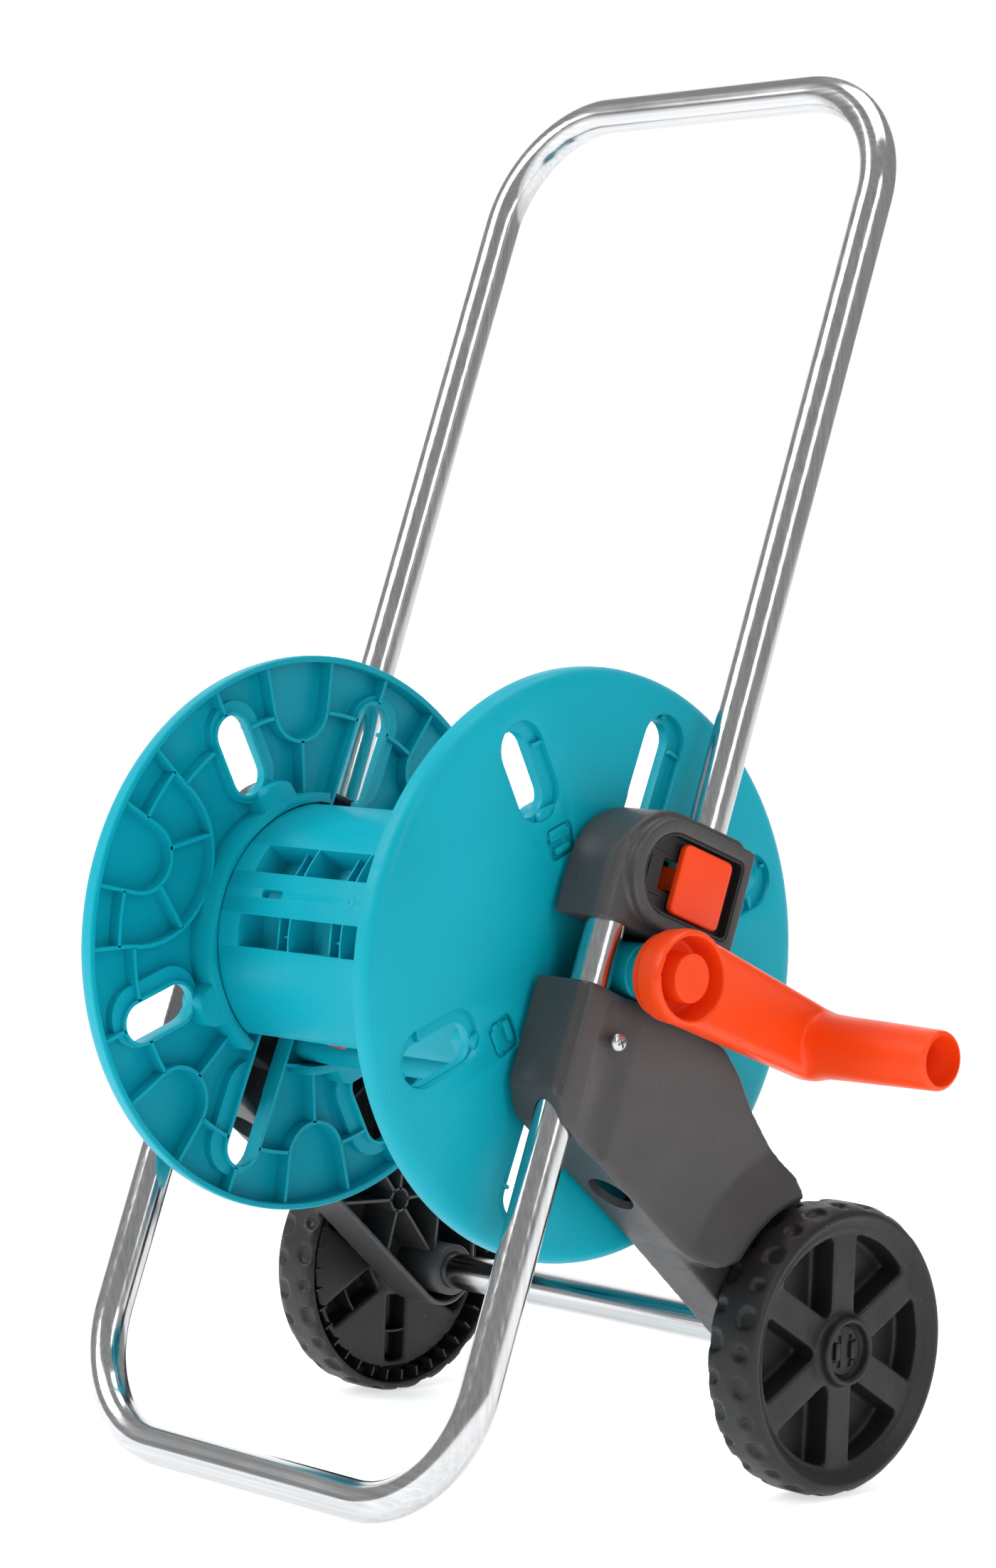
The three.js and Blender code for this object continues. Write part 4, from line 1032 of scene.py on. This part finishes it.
class REELCART_OT_wheels(bpy.types.Operator):
    """Moulds the wheels with spokes, tread and hub, and the stubs they run on"""

    bl_idname = "reel_cart.wheels"
    bl_label = "Wheels"

    def execute(self, context):
        size = sizes()
        radius, start = size["wheel"], size["wheel_start"]
        end = start + size["wheel_width"]
        centre = axle_centre(size)
        place = Matrix.Translation((0, centre[0] * MM, centre[1] * MM))
        rim = turned([(radius - 5.2, start), (radius - 2.4, start + 0.3), (radius - 0.8, start + 1.8),
                      (radius, start + 6), (radius, end - 8), (radius - 1.2, end - 4),
                      (radius - 3.2, end - 1.2), (radius - 5.2, end), (radius - 7.4, end),
                      (radius - 8.4, end - 1.6), (radius - 10.2, end - 2.4),
                      (radius - 15.2, end - 7), (radius - 15.6, start + 8), (radius - 12.4, start + 8),
                      (radius - 12.0, end - 9), (radius - 5.6, end - 9)], steps=144)
        web = turned([(0, start + 8.2), (radius - 14, start + 8.2), (radius - 14, end - 5.4), (20, end - 5.4),
                      (0, end - 4)], steps=96)
        pockets = [self.spoke_gap(turn * 60, 17, radius - 15.8, 21.4, 4.5, start + 10.4, end + 4)
                   for turn in range(SPOKES)]
        channels = turned(rectangle(21, start + 4, radius - 16, end - 8.6),
                          steps=96)
        stiffener = turned(rectangle(41, start + 9, 42.2, end - 7.4), steps=72)
        for turn in range(SPOKES):
            for piece in (channels, stiffener):
                carve(piece, self.spoke_gap(turn * 60, 14, radius - 13, 23.6, 6, start + 2, end))
        carve(web, *pockets, channels)
        hub = turned([(0, start + 1.4), (13.5, start + 1.4), (17.8, start + 12), (18.6, end - 6),
                      (17.8, end - 2), (17.4, end + 1), (14.6, end + 1), (14.2, end - 3),
                      (13.9, end - 9.4), (0, end - 9.4)], steps=72)
        dents = []
        for station in range(TREAD_STATIONS):
            degrees = station * 360 / TREAD_STATIONS
            inner, outer = ((5.6, 5.4), (4.0, 3.4)) if station % 2 == 0 else ((4.0, 3.4), (5.6, 5.4))
            dents.append(self.dent(start + 4.6, radius, *inner, degrees))
            dents.append(self.dent(end - 7.4, radius, *outer, degrees + 3))
        carve(rim, merge(dents))
        body = mould(merge([rim, web, hub]), 1.2, 3)
        carve(body, turned(rectangle(0, start - 2, 8.2, end - 5), steps=48))
        spurs = [block((start + 1.4, -0.6, radius - 12), (start + 9, 0.6, radius - 6.6))]
        teeth = spread(spurs[0], [step * 10 for step in range(36)])
        whole = placed(merge([body, teeth, stiffener]), place)
        pair(whole, "wheel", "road_wheel_{}", "black", smooth=50)

        head = end - 9
        stub = turned([(0, 118), (7.7, 118), (7.7, head), (12.4, head), (12.9, head + 0.6),
                       (12.9, head + 4.6), (12.3, head + 5.4), (0, head + 5.4)], steps=64)
        gaps = []
        for side in (1, -1):
            outline = [(side * 2.6, -8.2), (side * 2.6, 8.2), (side * 5.4, 8.2), (side * 5.4, 5.2),
                       (side * 8.6, 5.2), (side * 8.6, -5.2), (side * 5.4, -5.2), (side * 5.4, -8.2)]
            gaps.append(slab(outline, head + 1.2, head + 9))
        carve(stub, *gaps)
        hooks = [slab(rounded(rectangle(side * 4.2, -4.4, side * 7.4, 4.4), 1),
                      head + 0.8, head + 6.6) for side in (1, -1)]
        stub = placed(soften(merge([stub] + hooks), 0.35, 2, 40), place)
        pair(stub, "wheel_stub", "frame", "black")
        return {"FINISHED"}

    def dent(self, x, radius, wide, reach, degrees):
        """A shallow rounded hollow in the tread."""
        outline = rounded(rectangle(x - wide, -reach, x + wide, reach), reach, 4)
        return swung(extruded([(a, b, radius - 2.6) for a, b in outline], (0, 0, 6)), degrees)

    def spoke_gap(self, middle, tip, reach, half, corner, start, end):
        """The rounded space between two spokes, about a ray at middle degrees."""
        outline = ([polar(tip, middle), polar(reach, middle - half)]
                   + arc((0, 0), reach, middle - 17, middle + 17, 8) + [polar(reach, middle + half)])
        return slab(rounded(outline, [corner, corner] + [0] * 9 + [corner]), start, end)


# ---------------------------------------------------------------- inlet and screws


class REELCART_OT_inlet(bpy.types.Operator):
    """Moulds the swivelling water inlet with its quick-connect nose"""

    bl_idname = "reel_cart.inlet"
    bl_label = "Water inlet"

    def execute(self, context):
        size = sizes()
        start, end = 155.5, 182.5
        body = turned([(12.1, start), (14.0, start), (14.5, start + 0.6), (14.5, end + 2.4),
                       (12.6, end + 5), (0, end + 5), (0, end + 0.3), (9.3, end + 0.3),
                       (9.3, start + 14), (12.1, start + 14)], steps=72)
        grips = [block((start + 3, -0.9, 14.1), (end - 2, 0.9, 15.2))]
        grip = spread(grips[0], [step * 24 + 60 for step in range(11)])
        nose = self.nose(end - 9.5)
        whole = merge([soften(body, 0.4, 2, 45), grip, nose])
        settle(whole, "inlet_elbow_shape", "inlet", "grey", ["inlet_elbow"],
               turn=-size["lean"], side=-1)
        return {"FINISHED"}

    def nose(self, x):
        """Pipe and nose about a line along Y: turned lying along X, then swung round."""
        profile = [(5, 12), (9.5, 12), (9.5, 32.4), (12.1, 33), (12.5, 33.4), (12.5, 37.6), (12, 38),
                   (8.6, 39), (8.6, 47), (10, 48), (10, 50), (7.6, 51), (7.6, 59), (6.8, 60), (5, 60)]
        return shifted(swung(turned(profile, steps=56), z=90), x)


class REELCART_OT_screws(bpy.types.Operator):
    """Makes the pan-head screws with a cross recess"""

    bl_idname = "reel_cart.screws"
    bl_label = "Screws"

    def execute(self, context):
        size = sizes()
        lean = size["lean"]
        spots = {"housing_screw": (154.1, upright(-12, -38, lean), 1, 32),
                 "axle_screw": (130.1, STAR, -1, 16),
                 "bracket_screw": (118.0, upright(0, 34, lean), -1, 23)}
        for stem, (x, place, way, long) in spots.items():
            head = turned([(0, -long), (1.6, -long), (2.0, -long + 1), (2.0, 0), (4.6, 0), (4.8, 0.3),
                           (4.7, 1.2), (4.0, 2.1), (2.6, 2.7), (1.2, 2.85), (0, 2.9)], steps=40)
            cross = [block((1.2, -2.7, -0.55), (4, 2.7, 0.55)), block((1.2, -0.55, -2.7), (4, 0.55, 2.7))]
            swung(carve(head, *cross), 20)
            if way < 0:
                swung(head, z=180)
            pair(shifted(head, x, *place), stem, "frame", "zinc")
        return {"FINISHED"}


# ---------------------------------------------------------------- finishes of the remaining pieces


class REELCART_OT_finishes(bpy.types.Operator):
    """Gives the inner pieces their finishes"""

    bl_idname = "reel_cart.finishes"
    bl_label = "Inner pieces"

    def execute(self, context):
        kinds = {"teal": ("drum_hub",), "orange": ("hose_connector",), "zinc": ("latch_spring",),
                 "rubber": ("inlet_seal_ring", "latch_shoe"),
                 "black": ("bearing_plate", "foot_tube_plug", "handle_end_plug", "inner_water_pipe")}
        for kind, stems in kinds.items():
            for name, node in frame["nodes"].items():
                if name.startswith(stems):
                    node.data.materials.clear()
                    node.data.materials.append(finish(kind))
        return {"FINISHED"}


# ---------------------------------------------------------------- stage

CAMERA_RIGHT = (0.69086, 0.72206, 0.03672)
CAMERA_UP = (-0.04981, -0.00312, 0.99875)
CAMERA_PLACE = (1.4374, -1.3407, 0.1523)     # in metres from the middle of the drum
CAMERA_LENS = 87.7
SENSOR_HEIGHT = 36


class REELCART_OT_stage(bpy.types.Operator):
    """Lays a pale floor, sets soft lights and places the camera"""

    bl_idname = "reel_cart.stage"
    bl_label = "Stage"

    def execute(self, context):
        material, tree, surface, place = shader("pale_floor")
        clouds = spanned(tree, noise(tree, place, 3, 4), 0, 1)
        tone = mixed(tree, clouds, [0.86, 0.86, 0.86, 1], [0.88, 0.88, 0.88, 1])
        tree.links.new(tone, surface.inputs["Base Color"])
        surface.inputs["Roughness"].default_value = 0.75
        surface.inputs["Emission Color"].default_value = (1, 1, 1, 1)
        surface.inputs["Emission Strength"].default_value = 0.62
        deselect()
        bpy.ops.mesh.primitive_plane_add(size=26)
        floor = context.object
        floor.name = "studio_floor"
        floor.data.materials.append(material)
        glow, tree, surface, place = shader("backdrop")
        tree.links.new(mixed(tree, spanned(tree, noise(tree, place, 1, 2), 0, 1), [0.8, 0.8, 0.8, 1],
                             [0.82, 0.82, 0.82, 1]), surface.inputs["Base Color"])
        surface.inputs["Emission Color"].default_value = (1, 1, 1, 1)
        surface.inputs["Emission Strength"].default_value = 1.0
        bpy.ops.mesh.primitive_plane_add(size=1)
        wall = context.object
        wall.name = "backdrop"
        wall.scale = (22, 14, 1)
        wall.location = (-8.6, 8.3, 4.0)
        wall.rotation_euler = Vector((0.72, -0.69, 0)).to_track_quat("Z", "Y").to_euler()
        freeze()
        wall.data.materials.append(glow)
        world = bpy.data.worlds.new("soft_studio")
        world.use_nodes = True
        back = world.node_tree.nodes["Background"]
        back.inputs["Color"].default_value = (1, 1, 1, 1)
        back.inputs["Strength"].default_value = 0.38
        context.scene.world = world

        self.softbox("key_light", (-1.2, -2.0, 1.9), (0.0, 0.0, 0.35), 42, 1.2, 1.6)
        self.softbox("side_light", (2.1, -0.5, 1.3), (0.05, 0.0, 0.3), 11, 0.5, 1.6)
        self.softbox("top_light", (0.1, 0.3, 2.6), (0.0, 0.0, 0.3), 26, 1.6, 1.6)

        camera = bpy.data.cameras.new("camera")
        camera.sensor_fit = "VERTICAL"
        camera.sensor_height = SENSOR_HEIGHT
        camera.lens = CAMERA_LENS
        camera.clip_end = 100
        eye = bpy.data.objects.new("camera", camera)
        context.collection.objects.link(eye)
        right = Vector(CAMERA_RIGHT).normalized()
        up = Vector(CAMERA_UP).normalized()
        spot = MIDDLE + Vector(CAMERA_PLACE)
        facing = Matrix((right, up, right.cross(up))).transposed().to_4x4()
        eye.matrix_world = Matrix.Translation(spot) @ facing
        context.scene.camera = eye
        context.scene.view_settings.view_transform = "Standard"
        return {"FINISHED"}

    def softbox(self, name, spot, target, power, width, height):
        """An area light at a spot, turned to a target."""
        light = bpy.data.lights.new(name, "AREA")
        light.shape = "RECTANGLE"
        light.size, light.size_y = width, height
        light.energy = power
        lamp = bpy.data.objects.new(name, light)
        bpy.context.collection.objects.link(lamp)
        lamp.location = spot
        lamp.rotation_euler = (Vector(target) - Vector(spot)).to_track_quat("-Z", "Y").to_euler()


# ---------------------------------------------------------------- panel and running


OPERATORS = (
    REELCART_OT_stage, REELCART_OT_tubes, REELCART_OT_brackets, REELCART_OT_housings, REELCART_OT_flanges,
    REELCART_OT_core, REELCART_OT_crank, REELCART_OT_wheels, REELCART_OT_inlet, REELCART_OT_screws,
    REELCART_OT_finishes,
)


class REELCART_PT_panel(bpy.types.Panel):
    """Lists the cart's sizes, colours and pieces"""

    bl_idname = "REELCART_PT_panel"
    bl_label = "Hose Reel Cart"
    bl_space_type = "VIEW_3D"
    bl_region_type = "UI"
    bl_category = "Reel Cart"

    def draw(self, context):
        for group in (context.scene.reel_cart_sizes, context.scene.reel_cart_colours):
            box = self.layout.box()
            for key in type(group).__annotations__:
                box.prop(group, key)
        for operator in OPERATORS:
            self.layout.operator(operator.bl_idname)


CLASSES = (ReelCartSizes, ReelCartColours, *OPERATORS, REELCART_PT_panel)


def register():
    for kind in CLASSES:
        bpy.utils.register_class(kind)
    bpy.types.Scene.reel_cart_sizes = bpy.props.PointerProperty(type=ReelCartSizes)
    bpy.types.Scene.reel_cart_colours = bpy.props.PointerProperty(type=ReelCartColours)


def unregister():
    del bpy.types.Scene.reel_cart_colours
    del bpy.types.Scene.reel_cart_sizes
    for kind in reversed(CLASSES):
        bpy.utils.unregister_class(kind)


def main():
    register()
    for operator in OPERATORS:
        group, name = operator.bl_idname.split(".")
        getattr(getattr(bpy.ops, group), name)()


if __name__ == "__main__":
    main()
